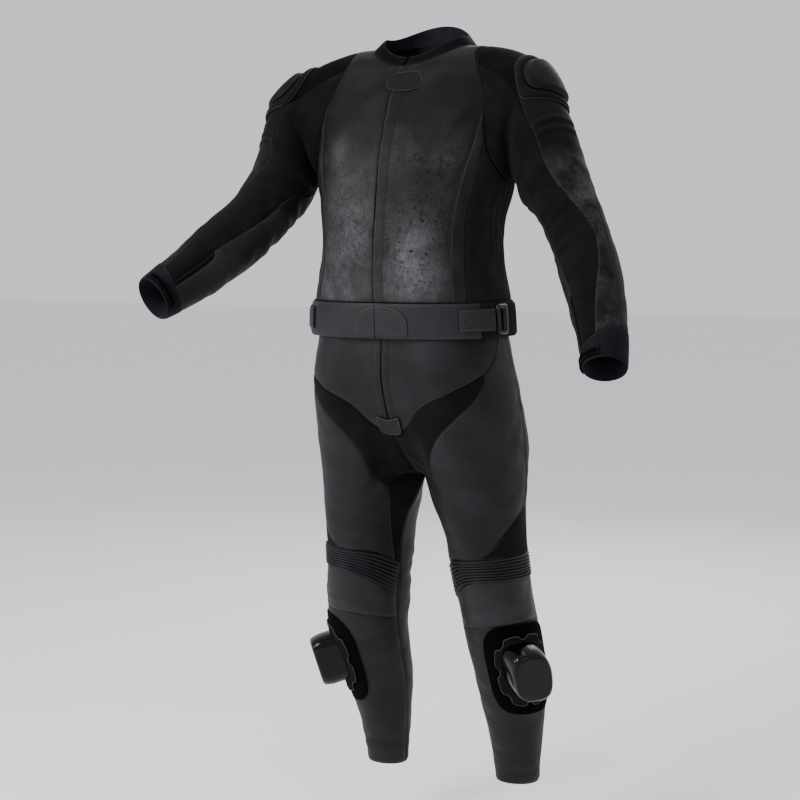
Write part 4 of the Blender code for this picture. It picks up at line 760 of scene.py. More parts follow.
def shell_faces(rows, cols, wrap):
    """Quads of the outer and inner sheets and of the rims between them."""
    index = np.arange(rows * cols).reshape(rows, cols)
    right = np.roll(index, -1, axis=1) if wrap else index[:, 1:]
    left = index if wrap else index[:, :-1]
    outer = np.stack([left[:-1], right[:-1], right[1:], left[1:]], axis=-1).reshape(-1, 4)
    inner = outer[:, ::-1] + rows * cols
    borders = [(left[0], right[0]), (right[-1], left[-1])]
    if not wrap:
        borders += [(index[1:, 0], index[:-1, 0]), (index[:-1, -1], index[1:, -1])]
    rims = [np.stack([b, a, a + rows * cols, b + rows * cols], axis=-1) for a, b in borders]
    return outer, inner, np.concatenate(rims)


def shell(name, outer, inner, style, lining, wrap=False, fields=None, smooth=60):
    """A closed thin shell between two grids of points."""
    rows, cols = outer.shape[:2]
    front, back, rims = shell_faces(rows, cols, wrap)
    across, up = outer[:-1, 1:] - outer[:-1, :-1], outer[1:, :-1] - outer[:-1, :-1]
    if float(np.sum(np.cross(across, up) * (outer - inner)[:-1, :-1])) < 0:
        front, back, rims = front[:, ::-1], back[:, ::-1], rims[:, ::-1]
    which = np.concatenate([np.zeros(len(front)), np.ones(len(back)), np.zeros(len(rims))])
    points = np.concatenate([outer.reshape(-1, 3), inner.reshape(-1, 3)])
    both = {key: np.concatenate([field.reshape(-1)] * 2) for key, field in (fields or {}).items()}
    return add_mesh(name, points, [front, back, rims], (style, lining), which, both, smooth)


LEAST_FILL = 0.4          # least share of its cut rectangle that a tapering panel fills


def flat_size(points, wrap):
    """Width, length and area of the cloth of a panel laid flat."""
    closed = np.concatenate([points, points[:, :1]], axis=1) if wrap else points
    length = run_lengths(points, 0)[-1].max()
    diagonals = np.cross(closed[1:, 1:] - closed[:-1, :-1], closed[1:, :-1] - closed[:-1, 1:])
    area = np.linalg.norm(diagonals, axis=-1).sum() / 2
    width = min(run_lengths(closed, 1)[:, -1].max(), area / length / LEAST_FILL)
    return float(width), float(length), float(min(area, width * length))


def declare_sheet(made, points, wrap=False):
    """Work out a sheet's cut, the cloth of its surface laid flat; the result is not kept."""
    width, length, area = flat_size(points, wrap)


STITCH_LENGTH, STITCH_PITCH, STITCH_RADIUS = 0.0028, 0.0036, 0.00042
TOOTH_PITCH = 0.0032
TOOTH = (0.0014, 0.0032, 0.0007)          # along the zip, across it and high
TUBE_SIDES = 6
RADIUS = {"ring": 0.0006, "flap": 0.0005, "slit": 0.0011, "band": 0.0007, "plate": 0.0008}    # of tubes
STITCH_LINES = {}
PALE_THREAD = ("waist", "belt", "knee_wedge")    # groups sewn with paler thread


def keep_stitches(group, line, normals):
    """Remember a line of points on the cloth along which a group's stitches run."""
    STITCH_LINES.setdefault(group, []).append((line, normals))


def read_at(want, at, values):
    """Values of a line at wanted distances along it."""
    return np.stack([np.interp(want, at, column) for column in values.T], axis=-1)


def evenly(line, normals, pitch):
    """Points at an even pitch along a line, with its direction and normal there."""
    at = run_lengths(line, 0)
    count = max(2, int(at[-1] / pitch))
    want = (np.arange(count) + 0.5) * at[-1] / count
    ahead = read_at(want + pitch / 2, at, line) - read_at(want - pitch / 2, at, line)
    return read_at(want, at, line), unit(ahead), unit(read_at(want, at, normals))


def scattered(line, normals, pitch, corners):
    """Points of a small shape repeated along a line; its corners count ahead, sideways and up."""
    place, ahead, normal = evenly(line, normals, pitch)
    points = []
    for corner in corners:
        point = place
        for way, size in zip((ahead, np.cross(ahead, normal), normal), corner):
            point = point + way * size
        points.append(point)
    return np.stack(points, axis=1).reshape(-1, 3)


def repeated(count, corners, faces):
    """The faces of a small shape for each of its copies."""
    starts = corners * np.arange(count // corners)[:, None]
    return [starts + np.array([face]) for face in faces]


def build_stitches():
    """Every group's stitches as one mesh of small spindles."""
    half, thick = STITCH_LENGTH / 2, STITCH_RADIUS
    corners = ((0, 0, thick), (0, thick, 0), (0, 0, -thick), (0, -thick, 0), (half, 0, 0), (-half, 0, 0))
    faces = [face for a, b in ((0, 1), (1, 2), (2, 3), (3, 0)) for face in ((b, a, 4), (a, b, 5))]
    for group, lines in STITCH_LINES.items():
        points = [scattered(line, normals, STITCH_PITCH, corners) for line, normals in lines]
        count, made_of = 0, []
        for part in points:
            made_of += [face + count for face in repeated(len(part), 6, faces)]
            count += len(part)
        thread = "pale_thread" if group.startswith(PALE_THREAD) else "thread"
        made = add_mesh(f"stitches_{group}", np.concatenate(points), [np.concatenate(made_of)], (thread,))


def teeth_row(name, line, normals):
    """The closed teeth of a zip along a line, as one mesh of small blocks."""
    along, wide, high = TOOTH
    corners = [(a * along / 2, b * wide / 2, c * high) for a in (-1, 1) for b in (-1, 1) for c in (0, 1)]
    points = scattered(line, normals, TOOTH_PITCH, corners)
    sides = ((0, 1, 3, 2), (4, 6, 7, 5), (0, 4, 5, 1), (2, 3, 7, 6), (0, 2, 6, 4), (1, 5, 7, 3))
    add_mesh(name, points, repeated(len(points), 8, sides), ("teeth",))


STITCH_INSET, STITCH_SHOW = 0.0030, 0.4    # from the edge, and how much of a thread stands out


def from_edge(grid, edge):
    """A grid turned so that its rows run inwards from the named edge."""
    grid = grid.transpose(1, 0, 2) if edge in ("bottom", "top") else grid
    return grid[:, ::-1] if edge in ("right", "top") else grid


def edge_stitches(group, outer, normals, edges, inset=STITCH_INSET):
    """Stitch lines along the named edges of a panel, a little inside them."""
    for edge in edges:
        grid, ways = from_edge(outer, edge), from_edge(normals, edge)
        at = run_lengths(grid, 1)
        line = np.array([read_at(inset, *row) for row in zip(at, grid)])
        facing = unit(np.array([read_at(inset, *row) for row in zip(at, ways)]))
        keep_stitches(group, line + facing * STITCH_RADIUS * STITCH_SHOW, facing)


def border(grid):
    """The closed line of a grid's border values; its last entry repeats the first."""
    return np.concatenate([grid[0], grid[1:, -1], grid[-1, -2::-1], grid[-2::-1, 0]])


def tube(name, line, normals, radius, style, closed=False):
    """A thin round tube along a line of points; a closed line repeats its first point."""
    ahead = np.gradient(line, axis=0)
    if closed:
        ahead[0] = ahead[-1] = line[1] - line[-2]
    side = unit(np.cross(unit(ahead), normals))
    up = np.cross(side, unit(ahead))
    angle = (np.arange(TUBE_SIDES) * 2 * np.pi / TUBE_SIDES)[None, :, None]
    rings = line[:, None] + radius * (np.cos(angle) * up[:, None] + np.sin(angle) * side[:, None])
    rings = rings[:-1] if closed else rings
    index = np.arange(len(rings) * TUBE_SIDES).reshape(-1, TUBE_SIDES)
    after = np.roll(index, -1, axis=0)
    quads = np.stack([index, np.roll(index, -1, axis=1), np.roll(after, -1, axis=1), after], axis=-1)
    faces = [quads.reshape(-1, 4)] if closed else [quads[:-1].reshape(-1, 4), index[:1], index[-1:, ::-1]]
    add_mesh(name, rings.reshape(-1, 3), faces, (style,))


# ---- panels
STITCHED = {              # edges of each panel that show a stitch line
    "front": ("left", "right", "bottom"), "side_front": ("left", "right", "top"),
    "back": ("left", "right", "bottom"), "collar": ("bottom", "top"), "waistband_front": ("bottom", "top"),
    "sleeve_shoulder": ("bottom", "top"), "sleeve_outer": ("left", "right", "top", "bottom"),
    "sleeve_under": ("left", "right", "bottom"), "sleeve_cuff": ("bottom",),
    "yoke": ("right", "top", "left"), "thigh": ("left", "right", "top"),
    "knee_wedge": ("bottom", "left", "top"), "knee": ("bottom", "top"),
    "shin": ("bottom", "left", "right"), "leg_back": ("right", "left"),
}
UNROLLED = {"collar": ("bottom",), "front": ("top",), "back": ("top",)}      # seams that turn a corner
EDGE_SHINE = 0.0016       # how far from its seam an edge is painted paler, a painted highlight of its rolled edge
CALM = ("waistband_front", "waistband_elastic", "collar", "sleeve_cuff", "knee_pleats", "sleeve_zip",
        "front_zip")      # panels without folds


def family(name):
    """A node's name without its hand."""
    for hand in ("_left", "_right"):
        if name.endswith(hand):
            return name[:-len(hand)]
    return name


def panel(name, surface, edges, style, lift=0.0, relief=None, pitch=CLOTH_PITCH, wrap=False):
    """One sewn panel as a fine shell that replaces its solid; edges are its bottom, right, top
    and left seams, or a grid of places."""
    places = edges if isinstance(edges, np.ndarray) else between(*edges)
    points, normals = points_and_normals(surface, to_pitch(surface, places, pitch, wrap))
    finish_panel(name, surface, points, normals, style, lift, relief, wrap)


def finish_panel(name, surface, points, normals, style, lift=0.0, relief=None, wrap=False):
    """Give a panel its folds, rolled edges and stitches, and make its object."""
    kind, shape = family(name), points.shape[:2]
    rolled = edge_distance(points, wrap, UNROLLED.get(kind, ()))
    folds = np.zeros(shape)
    if kind not in CALM:
        calm = np.clip(edge_distance(points, wrap) / EDGE_CALM, 0, 1) ** 0.5
        folds = (crease_field(points, surface) + swell(points)) * calm
    roll = ROLL_DEPTH * np.exp(-(rolled / ROLL_WIDTH) ** 2)
    across, up = np.meshgrid(np.linspace(0, 1, shape[1]), np.linspace(0, 1, shape[0]))
    raised = relief(across, up) if relief is not None else np.zeros(shape)
    outer = points + normals * (lift + folds - roll + raised)[..., None]
    inner = points + normals * (lift + folds - WALL_OF.get(style, LEATHER))[..., None]
    # painted highlights: on the crests of folds and relief, and along the rolled seam edges
    fields = {"ridge_highlight": np.clip((folds + raised * 0.5) * 400 + 0.5, 0, 1),
              "edge": np.exp(-((rolled - EDGE_SHINE) / EDGE_SHINE) ** 2)}
    # grey worn patches with a painted highlight on the lower chest, and dark flecks
    if kind in PATINA_AND_HIGHLIGHT:
        fields["patina_and_highlight"] = spots(points, PATINA_AND_HIGHLIGHT[kind])
        fields["specks"] = np.clip(spots(points, SPECKED), 0, 1)
    made = shell(name + "_cloth", outer, inner, style, "lining", wrap, fields)
    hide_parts(name)
    declare_sheet(made, points, wrap)
    edge_stitches(name, outer, normals, STITCHED.get(kind, ()))


def wave(x):
    """Rounded ridges of height 1 with narrow valleys, one for each whole number."""
    return np.abs(np.sin(np.pi * x)) ** 0.6


def bump(x, low, high, soft):
    """1 between low and high, with soft sides."""
    return np.clip((x - low) / soft, 0, 1) * np.clip((high - x) / soft, 0, 1)


CORNER_SPREAD = np.linspace(-0.03, 0.03, 7)   # nearness over which a pad's corners are rounded
LEAST_PAD = 0.006         # least height of a pad with a level top
PATCH_ROLL, PATCH_INSET = 0.0015, 0.0028      # width of a patch's rolled edge, and its stitches' inset
ROLL_SHARE = 0.6          # share of a patch's wall by which its edge rolls down
RING_STEPS = 13           # points across a raised ring


def outline(centre, half, power, count):
    """A closed outline of places round a centre; power sets how square it is."""
    angle = np.arange(count) * 2 * np.pi / count
    sine, cosine = np.sin(angle), np.cos(angle)
    squeeze = squeezed(sine, cosine, power)
    return stack(centre[0] + half[0] * cosine / squeeze, centre[1] + half[1] * sine / squeeze)


def rounded_grid(centre, half, power, lines_across, lines_up, notch=0.0):
    """A grid of places whose border is a rounded shape, and how near each is to that border.
    Lines run from -1 to 1; a notch draws in the middles between the border's lobes."""
    across, up = np.meshgrid(lines_across, lines_up)
    near = np.maximum(np.abs(across), np.abs(up))
    safe = np.maximum(near, 1e-9)
    reach = 1 / np.maximum(squeezed(across / safe, up / safe, power), 1)
    lobes = 1 - notch * near ** 6 * np.clip(np.cos(8 * np.arctan2(up, across)) * 1.6 - 0.3, 0, 1)
    return stack(centre[0] + half[0] * across * reach * lobes, centre[1] + half[1] * up * reach * lobes), near


def smooth_profile(near, profile):
    """Height at each nearness to the border, with rounded corners between the profile's stops."""
    stops, heights = np.array(profile).T
    moved = [np.clip(near + shift, 0, 1) for shift in CORNER_SPREAD]
    return np.mean([np.interp(place, stops, heights) for place in moved], axis=0)


def even_height(height):
    """Profile of a pad that is equally high all over."""
    return (0.0, height), (1.0, height)


def solid_piece(name, high, low, style, wrap=False, smooth=60):
    """A closed piece of one finish that stands for its solid."""
    made = shell(name + "_piece", high, low, style, style, wrap, smooth=smooth)
    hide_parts(name)
    return made


def pad_solid(name, surface, grid, profile, lift, style, level=False):
    """A pad that lies on a surface; level cuts its top flat, square to its middle's normal."""
    places, near = grid
    low, normals = points_and_normals(surface, places, lift)
    height = smooth_profile(near, profile)
    high = low + normals * height[..., None]
    if level:
        middle = (near.shape[0] // 2, near.shape[1] // 2)
        depth = np.sum((low - low[middle]) * normals[middle], axis=-1)
        high = low + normals[middle] * np.maximum(height - depth, LEAST_PAD)[..., None]
    solid_piece(name, high, low, style, smooth=50)
    return high, normals


def ring_solid(name, surface, outside, inside, rim, top, lift, style):
    """A rounded raised ring between two outlines on a surface; it is rim high at both edges."""
    shares = np.linspace(0, 1, RING_STEPS)
    places = np.stack([outside + (inside - outside) * share for share in shares])
    low, normals = points_and_normals(surface, places, lift)
    high = low + normals * (rim + (top - rim) * np.sin(np.pi * shares) ** 0.5)[:, None, None]
    solid_piece(name, high, low, style, wrap=True, smooth=50)
    return high, normals


def lay_patch(name, low, normals, wall, style):
    """A flat stitched piece with rolled edges on a grid of points."""
    roll = wall * ROLL_SHARE * np.exp(-(edge_distance(low, False) / PATCH_ROLL) ** 2)
    outer = low + normals * (wall - roll)[..., None]
    declare_sheet(solid_piece(name, outer, low, style), low)
    edge_stitches(name, outer, normals, ("left", "right", "top", "bottom"), PATCH_INSET)


# ---- jacket
# named stops round the armhole: turn round the sleeve and steps from the stop before
ARM_STOPS = {"top": (0.0, 0), "saddle": (0.15, 2), "front": (0.22, 1), "strip": (0.31, 2),
             "under": (0.60, 5), "back": (0.80, 5), "round": (1.0, 3)}


def armhole_turns(first, last):
    """Turns round the sleeve from one named stop of the armhole to another."""
    names = list(ARM_STOPS)
    stops = [ARM_STOPS[name] for name in names[names.index(first):names.index(last) + 1]]
    turns = [stops[0][0]]
    for (turn_a, _), (turn_b, steps) in zip(stops, stops[1:]):
        turns += list(np.linspace(turn_a, turn_b, steps * DETAIL + 1)[1:])
    return np.array(turns)


def armhole_on_torso(first, last):
    """The same stretch of the armhole as places on the torso."""
    return stack(*armhole_place(armhole_turns(first, last)))


def armhole_on_sleeve(first, last):
    """The same stretch of the armhole as places on the sleeve."""
    return stack(armhole_turns(first, last), 0.0)


ZIP_HALF = 0.009          # half width of the front opening, in turns of the torso
NECK_SIDE = 0.5           # turn of the shoulder seam at the neck
FRONT_ROWS, NECK_STEPS = 8, 6             # steps from the waist seam to the armhole, and of half the neck
HEM_STEPS = 320           # steps of the bound hem, which closes the jacket to the waistband
HEM, HEM_ROLL = 0.985, 0.0022             # its station and radius


def torso_panels():
    """Fronts, strips, sides, back and zip of the jacket body."""
    strip_top = armhole_on_torso("front", "strip")
    front_top = armhole_on_torso("top", "front")[::-1]
    side_top = armhole_on_torso("strip", "under")
    back_edge = armhole_on_torso("under", "round")
    princess = seam(FRONT_ROWS, (0.240, WAIST), (0.255, 2), (0.256, 3), (0.264, 4.2), front_top[0])
    strip_seam = seam(FRONT_ROWS, (0.285, WAIST), (0.308, 2), (0.303, 3), (0.310, 4.0), strip_top[-1])
    side_seam = seam(FRONT_ROWS, (0.640, WAIST), (0.640, 2.5), side_top[-1])
    shoulder_seam = seam(2, front_top[-1], (NECK_SIDE, NECK))
    neck_front = seam(NECK_STEPS, (ZIP_HALF, NECK), (NECK_SIDE, NECK))
    neck_back = seam(NECK_STEPS, (NECK_SIDE, NECK), (1.0, NECK))
    centre = join(seam(FRONT_ROWS, (ZIP_HALF, WAIST), (ZIP_HALF, 6.1)),
                  seam(3, (ZIP_HALF, 6.1), (ZIP_HALF, 7.35)), seam(2, (ZIP_HALF, 7.35), (ZIP_HALF, NECK)))
    for side, hand in HANDS:
        body = surface_of("torso", side)
        panel(f"front_{hand}", body, (seam(NECK_STEPS, (ZIP_HALF, WAIST), princess[0]),
                                      join(princess, front_top, shoulder_seam), neck_front, centre),
              "worn_leather")
        panel(f"side_front_{hand}", body, (seam(2, princess[0], strip_seam[0]), strip_seam, strip_top,
                                           princess), "strip_leather")
        # stretch cloth painted lighter against the arm's shade
        panel(f"side_{hand}", body, (seam(5, strip_seam[0], side_seam[0]), side_seam, side_top, strip_seam),
              "side_stretch", relief=side_ribs, pitch=RIB_PITCH)
    body = surface_of("torso")
    edge = join(side_seam, back_edge, shoulder_seam)
    panel("back", body, (seam(2 * NECK_STEPS, side_seam[0], (2 - side_seam[0][0], WAIST)), mirrored(edge),
                         join(neck_back, mirrored(neck_back)[::-1]), edge), "leather")
    panel("front_zip", body, (seam(1, (-ZIP_HALF, WAIST), (ZIP_HALF, WAIST)), centre,
                              seam(1, (-ZIP_HALF, NECK), (ZIP_HALF, NECK)), centre * (-1, 1)),
          "zip_tape", lift=-ZIP_SINK)
    placket()
    hem = points_and_normals(body, seam(HEM_STEPS, (0, HEM), (2, HEM)))
    tube("jacket_hem", *hem, HEM_ROLL, "zip_tape", closed=True)


PLACKET = (-0.0045, 0.030)       # turns that the stitched flap over the zip covers
FLAP_WALL, FLAP_GAP = 0.0010, 0.0001     # of the flap and the fly's edges, and their clearance
FLAP_INSET, TRIM_GAP = 0.0035, 0.0002    # of the flap's stitches from its edge, and lift of the tubes by it
FLAP_SHADOW_AWAY = 0.0030        # turns from the flap to the dark tube beside it, a painted shadow of the flap's fold


def flap(name, points, normals, folds, across, fade, fold, style, fields):
    """A folded edge of cloth on its panel: it fades out on its far side over the share 1 / fade,
    rises from its fold over the share 1 / fold, and its underside is hidden in the panel."""
    rise = FLAP_WALL * np.clip((1 - across) * fade, 0, 1) * (0.4 + 0.6 * np.clip(across * fold, 0, 1))
    top_side = points + normals * (folds + rise + FLAP_GAP)[..., None]
    under = points + normals * (folds - LEATHER / 2)[..., None]
    fields = {key: values + 0 * folds for key, values in {"ridge_highlight": 0.5, **fields}.items()}
    made = shell(name, top_side, under, style, "lining", fields=fields)
    declare_sheet(made, points)
    return top_side


def placket():
    """Stitched flap over the zip from the wearer's left; tubes paint a highlight on its fold and its shadow
    beside it.
    """
    body = surface_of("torso")
    start, end = PLACKET
    low, high = WAIST + 0.02, NECK - 0.05
    places = four_sided(1, 12, (start, low), (end, low), (end, high), (start, high))
    points, normals = points_and_normals(body, to_pitch(body, places, CLOTH_PITCH))
    folds = crease_field(points, body) + swell(points)
    across = np.linspace(0, 1, points.shape[1])[None]
    # painted highlight along the flap's fold; the front's grey patches and painted highlight, weaker
    top_side = flap("zip_flap", points, normals, folds, across, 6, 12, "worn_leather", {
        "edge": np.exp(-(across / 0.12) ** 2), "patina_and_highlight": spots(points, PATINA_AND_HIGHLIGHT["front"]) * 0.6, "specks": 0})
    edge_stitches("zip_flap", top_side, normals, ("right",), FLAP_INSET)
    # pale tube on the flap's fold: a painted highlight
    tube("zip_flap_edge", top_side[:, 0] + normals[:, 0] * TRIM_GAP, normals[:, 0], RADIUS["flap"], "pale_highlight_tube")
    # dark tube beside the flap's fold: a painted shadow
    shade, ways = points_and_normals(body, seam(40, (start - FLAP_SHADOW_AWAY, low), (start - FLAP_SHADOW_AWAY, high)))
    sunk = crease_field(shade[:, None], body)
    tube("zip_slit", shade + ways * (sunk + TRIM_GAP), ways, RADIUS["slit"], "zip_tape")


def mirrored(places):
    """Places on the wearer's right that mirror those on the left, still counted onwards."""
    return places * (-1, 1) + (2, 0)


def side_ribs(across, up):
    """Lengthwise accordion ribs towards the back of the side panel, fading at the waist."""
    ribs = wave(across * 7.5) * bump(across, 0.42, 0.98, 0.05)
    return RIB_HEIGHT * ribs * np.clip((up - 0.20) / 0.25, 0, 1) * np.clip((1 - up) / 0.1, 0, 1)


def collar_panels():
    """Band collar with its right end lapped over the left."""
    left = join(seam(6, (ZIP_HALF, 0), (NECK_SIDE, 0)), seam(6, (NECK_SIDE, 0), (1.0, 0)))
    base = join(left, mirrored(left[::-1]))
    sides = seam(2, (0, 0), (0, 1))
    panel("collar", surface_of("collar"), (base, sides + base[-1], base + (0, 1), sides + base[0]),
          "dark_leather")


# ---- sleeves
PAD_LINES = np.linspace(-1, 1, 57)        # grid lines of a pad
RING_CENTRE, RING_HALF = (0.0, 0.60), (0.19, 0.30)    # protector ring: turn and station
RING_INNER = (RING_HALF[0] * 0.80, RING_HALF[1] * 0.74)
RING_LIFT, RING_RIM, RING_POWER, RING_POINTS = 0.0016, 0.0008, 2.6, 120
CUP_HALF = (RING_HALF[0] * 0.77, RING_HALF[1] * 0.70)
CUP_PROFILE = ((0.0, CUP_HEIGHT), (0.84, CUP_HEIGHT), (1.0, 0.003))   # nearness to its rim, height
SADDLE_END = 0.60         # station where the shoulder saddle ends
ZIP_START = (0.345, 5.6)  # upper end of the forearm zip
CUFF_MEAN, CUFF_SLANT, CUFF_TURN = 7.08, 0.33, 0.45   # the slanted seam at the top of the cuff
CUFF_STRAP = ((0.20, 7.62), (0.50, 7.66), (0.50, 7.96), (0.20, 7.92))


def cuff_line(count, first, last):
    """The seam of count steps, each cut fine, between the sleeve's leather and its cuff."""
    turns = np.linspace(first, last, count * DETAIL + 1)
    return stack(turns, leather_end(turns))


def leather_end(turn):
    """Station where the leather of the sleeve stops and the cuff begins."""
    return CUFF_MEAN + CUFF_SLANT * np.cos(2 * np.pi * (turn - CUFF_TURN))


def sleeve_panels(side, hand):
    """All sewn panels of one sleeve."""
    arm = surface_of("sleeve", side)
    front_turn, back_turn, inner_turn, outer_turn = 0.225, 0.055, 0.340, 0.385     # seams at the cuff
    saddle_front = seam(3, (0.15, 0), (0.193, 0.35), (0.20, SADDLE_END))
    saddle_back = seam(3, (0.80, 0), (0.85, SADDLE_END)) - (1, 0)
    outer_front = seam(12, (0.20, SADDLE_END), (0.20, 0.83), (0.20, 1.06), (0.20, 1.33), (0.203, 1.60),
                       (0.217, 2.10), (0.207, 2.75), (0.165, 3.40), (0.120, 4.10), (0.130, 4.85),
                       (0.172, 5.60), (0.205, 6.35), (front_turn, leather_end(front_turn)))
    outer_back = seam(12, (-0.15, SADDLE_END), (-0.145, 0.83), (-0.14, 1.06), (-0.13, 1.33),
                      (-0.115, 1.60), (-0.080, 2.10), (-0.035, 2.75), (0.015, 3.40), (0.040, 4.10),
                      (0.052, 4.85), (0.055, 5.60), (0.055, 6.35), (back_turn, leather_end(back_turn)))
    under_seam = seam(11, (0.60, 0), (0.60, 0.9), (0.53, 1.9), (0.42, 2.9), (0.39, 3.9), (0.36, 5.0),
                      ZIP_START)
    zip_inner = seam(4, ZIP_START, (0.336, 6.0), (inner_turn, leather_end(inner_turn)))
    zip_outer = seam(4, ZIP_START, (0.380, 5.9), (outer_turn, leather_end(outer_turn)))
    outer_end, stretch_end = cuff_line(5, back_turn, front_turn), cuff_line(8, front_turn, inner_turn)
    zip_end, under_end = cuff_line(1, inner_turn, outer_turn), cuff_line(5, outer_turn, 1 + back_turn)
    hidden_seam = seam(5, saddle_back[-1], saddle_front[-1])
    saddle_top = join(armhole_on_sleeve("back", "round") - (1, 0), armhole_on_sleeve("top", "saddle"))
    panel(f"sleeve_shoulder_{hand}", arm, (saddle_top, saddle_front, hidden_seam, saddle_back),
          "dark_leather")
    panel(f"sleeve_outer_{hand}", arm, (hidden_seam, outer_front, outer_end, outer_back), "sleeve_worn",
          relief=strap_bands)
    panel(f"sleeve_stretch_{hand}", arm, (
        armhole_on_sleeve("saddle", "under"), join(under_seam, zip_inner), stretch_end,
        join(saddle_front, outer_front)), "stretch")
    panel(f"sleeve_under_{hand}", arm, (
        armhole_on_sleeve("under", "back"), join(saddle_back, outer_back) + (1, 0), under_end,
        join(under_seam, zip_outer)), "strip_leather")
    zip_places = between(seam(1, ZIP_START, ZIP_START), zip_outer, zip_end, zip_inner)[1:]
    panel(f"sleeve_zip_{hand}", arm, zip_places, "zip_tape", lift=-ZIP_SINK / 2)
    teeth = points_and_normals(arm, (zip_inner[4:] + zip_outer[4:]) / 2, -ZIP_SINK / 2)
    teeth_row(f"sleeve_teeth_{hand}", *teeth)
    cuff_top = join(outer_end, stretch_end, zip_end, under_end)[:-1]
    cuff_bottom = stack(cuff_top[:, 0], ARM_END)
    cuff = np.stack([cuff_top, (cuff_top + cuff_bottom) / 2, cuff_bottom])
    panel(f"sleeve_cuff_{hand}", arm, cuff, "neoprene", wrap=True)


def strap_bands(across, up):
    """Two flat bands across the upper arm, in front of the outer seam."""
    bands = 0.8 * bump(up, 0.187, 0.230, 0.005) + bump(up, 0.270, 0.314, 0.005)
    return BAND_HEIGHT * bands * np.clip((across - 0.29) / 0.02, 0, 1)


def sleeve_trims(side, hand):
    """Protector ring and cup, and the strap on the cuff."""
    arm = surface_of("sleeve", side)
    outside = outline(RING_CENTRE, RING_HALF, RING_POWER, RING_POINTS)
    inside = outline(RING_CENTRE, RING_INNER, RING_POWER, RING_POINTS)
    ring = ring_solid(f"shoulder_ring_{hand}", arm, outside, inside, RING_RIM, RING_HEIGHT, RING_LIFT,
                      "leather")
    # pale tubes on the ring's rims: a painted highlight
    for row in (0, -1):
        line, ways = (np.concatenate([grid[row], grid[row, :1]]) for grid in ring)
        tube(f"shoulder_ring_edge_{hand}_{row}", line, ways, RADIUS["ring"], "pale_highlight_tube", closed=True)
    cup = rounded_grid(RING_CENTRE, CUP_HALF, RING_POWER, PAD_LINES, PAD_LINES)
    pad_solid(f"shoulder_cup_{hand}", arm, cup, CUP_PROFILE, RING_LIFT, "cup")
    strap = points_and_normals(arm, four_sided(8, 2, *CUFF_STRAP), LAY_GAP)
    lay_patch(f"cuff_strap_{hand}", *strap, STRETCH, "hook")


# ---- waistband
BAND_EDGE = 0.335         # turn where the front band meets the elastic
D_LEFT, D_RIGHT, D_FOOT, D_SHOULDER, D_TOP = -0.070, 0.104, 0.08, 0.30, 0.93       # D-shaped patch
D_STEPS, D_WALL = 41, 0.0015
STRAP, STRAP_WALL = ((0.255, 0.22), (0.395, 0.22), (0.395, 0.84), (0.255, 0.84)), 0.0018
STRAP_BOX = ((0.266, 0.28), (0.316, 0.28), (0.316, 0.78), (0.266, 0.78), (0.266, 0.28),
             (0.316, 0.78), (0.316, 0.28), (0.266, 0.78))     # its stitches: a box and a cross
BUCKLE, BUCKLE_SLOT = ((0.435, 0.52), (0.034, 0.42)), ((0.426, 0.52), (0.013, 0.30))   # centre, half sizes
BUCKLE_RIM, BUCKLE_HEIGHT, BUCKLE_POWER, BUCKLE_POINTS = 0.0016, 0.006, 8, 96
D_ROWS, D_ROWS_FOOT = (0.95, 0.86), 0.12      # sizes of the patch's rows of stitches, and where they start
D_THREAD, D_SEAM, STRAP_THREAD = 0.0017, 0.0013, 0.0020   # heights of threads and of the centre seam


def band(count, first, last):
    """Places all along the waistband from one turn to another."""
    line = seam(count, (first, 0), (last, 0))
    return np.stack([line + (0, height) for height in seam(2, (0, 0.02), (0, 0.98))[:, 1]])


def waistband():
    """Front band, gathered elastic, D-shaped patch, straps and buckles."""
    body = surface_of("torso")
    panel("waistband_front", body, band(12, -BAND_EDGE, BAND_EDGE), "belt", lift=WAISTBAND_LIFT)
    panel("waistband_elastic", body, band(22, BAND_EDGE, 2 - BAND_EDGE), "elastic", lift=WAISTBAND_LIFT,
          relief=gathers, pitch=GATHER_PITCH)
    lift = WAISTBAND_LIFT + LAY_GAP
    arch = np.linspace(0, np.pi, D_STEPS)
    middle = np.array(((D_LEFT + D_RIGHT) / 2, 0.0))
    upper = stack(middle[0] - (D_RIGHT - D_LEFT) / 2 * np.cos(arch),
                  D_SHOULDER + (D_TOP - D_SHOULDER) * np.sin(arch) ** 0.6)
    lower = stack(np.linspace(D_LEFT, D_RIGHT, D_STEPS), D_FOOT)
    patch = between(lower, seam(3, lower[-1], upper[-1]), upper, seam(3, lower[0], upper[0]))
    lay_patch("waistband_patch", *points_and_normals(body, patch, lift), D_WALL, "belt")
    for size in D_ROWS:
        arc = middle + (upper - middle) * size
        feet = [(turn, D_ROWS_FOOT) for turn in (arc[0, 0], arc[-1, 0])]
        line = join(seam(1, feet[0], arc[0]), arc, seam(1, arc[-1], feet[1]))
        keep_stitches("waistband_patch", *points_and_normals(body, line, lift + D_THREAD))
    centre_seam = points_and_normals(body, seam(4, (0.0, 0.02), (0.0, D_TOP)), lift + D_SEAM)
    tube("waistband_seam", *centre_seam, RADIUS["band"], "zip_tape")
    strap_lift = lift + GATHER_HEIGHT
    for side, hand in HANDS:
        hip = surface_of("torso", side)
        strap = points_and_normals(hip, four_sided(6, 1, *STRAP), strap_lift)
        lay_patch(f"belt_strap_{hand}", *strap, STRAP_WALL, "belt")
        for first, last in zip(STRAP_BOX, STRAP_BOX[1:]):
            line = points_and_normals(hip, seam(2, first, last), strap_lift + STRAP_THREAD)
            keep_stitches(f"belt_strap_{hand}", *line)
        outside, inside = (outline(*shape, BUCKLE_POWER, BUCKLE_POINTS) for shape in (BUCKLE, BUCKLE_SLOT))
        ring_solid(f"belt_buckle_{hand}", hip, outside, inside, BUCKLE_RIM, BUCKLE_HEIGHT, strap_lift,
                   "buckle")


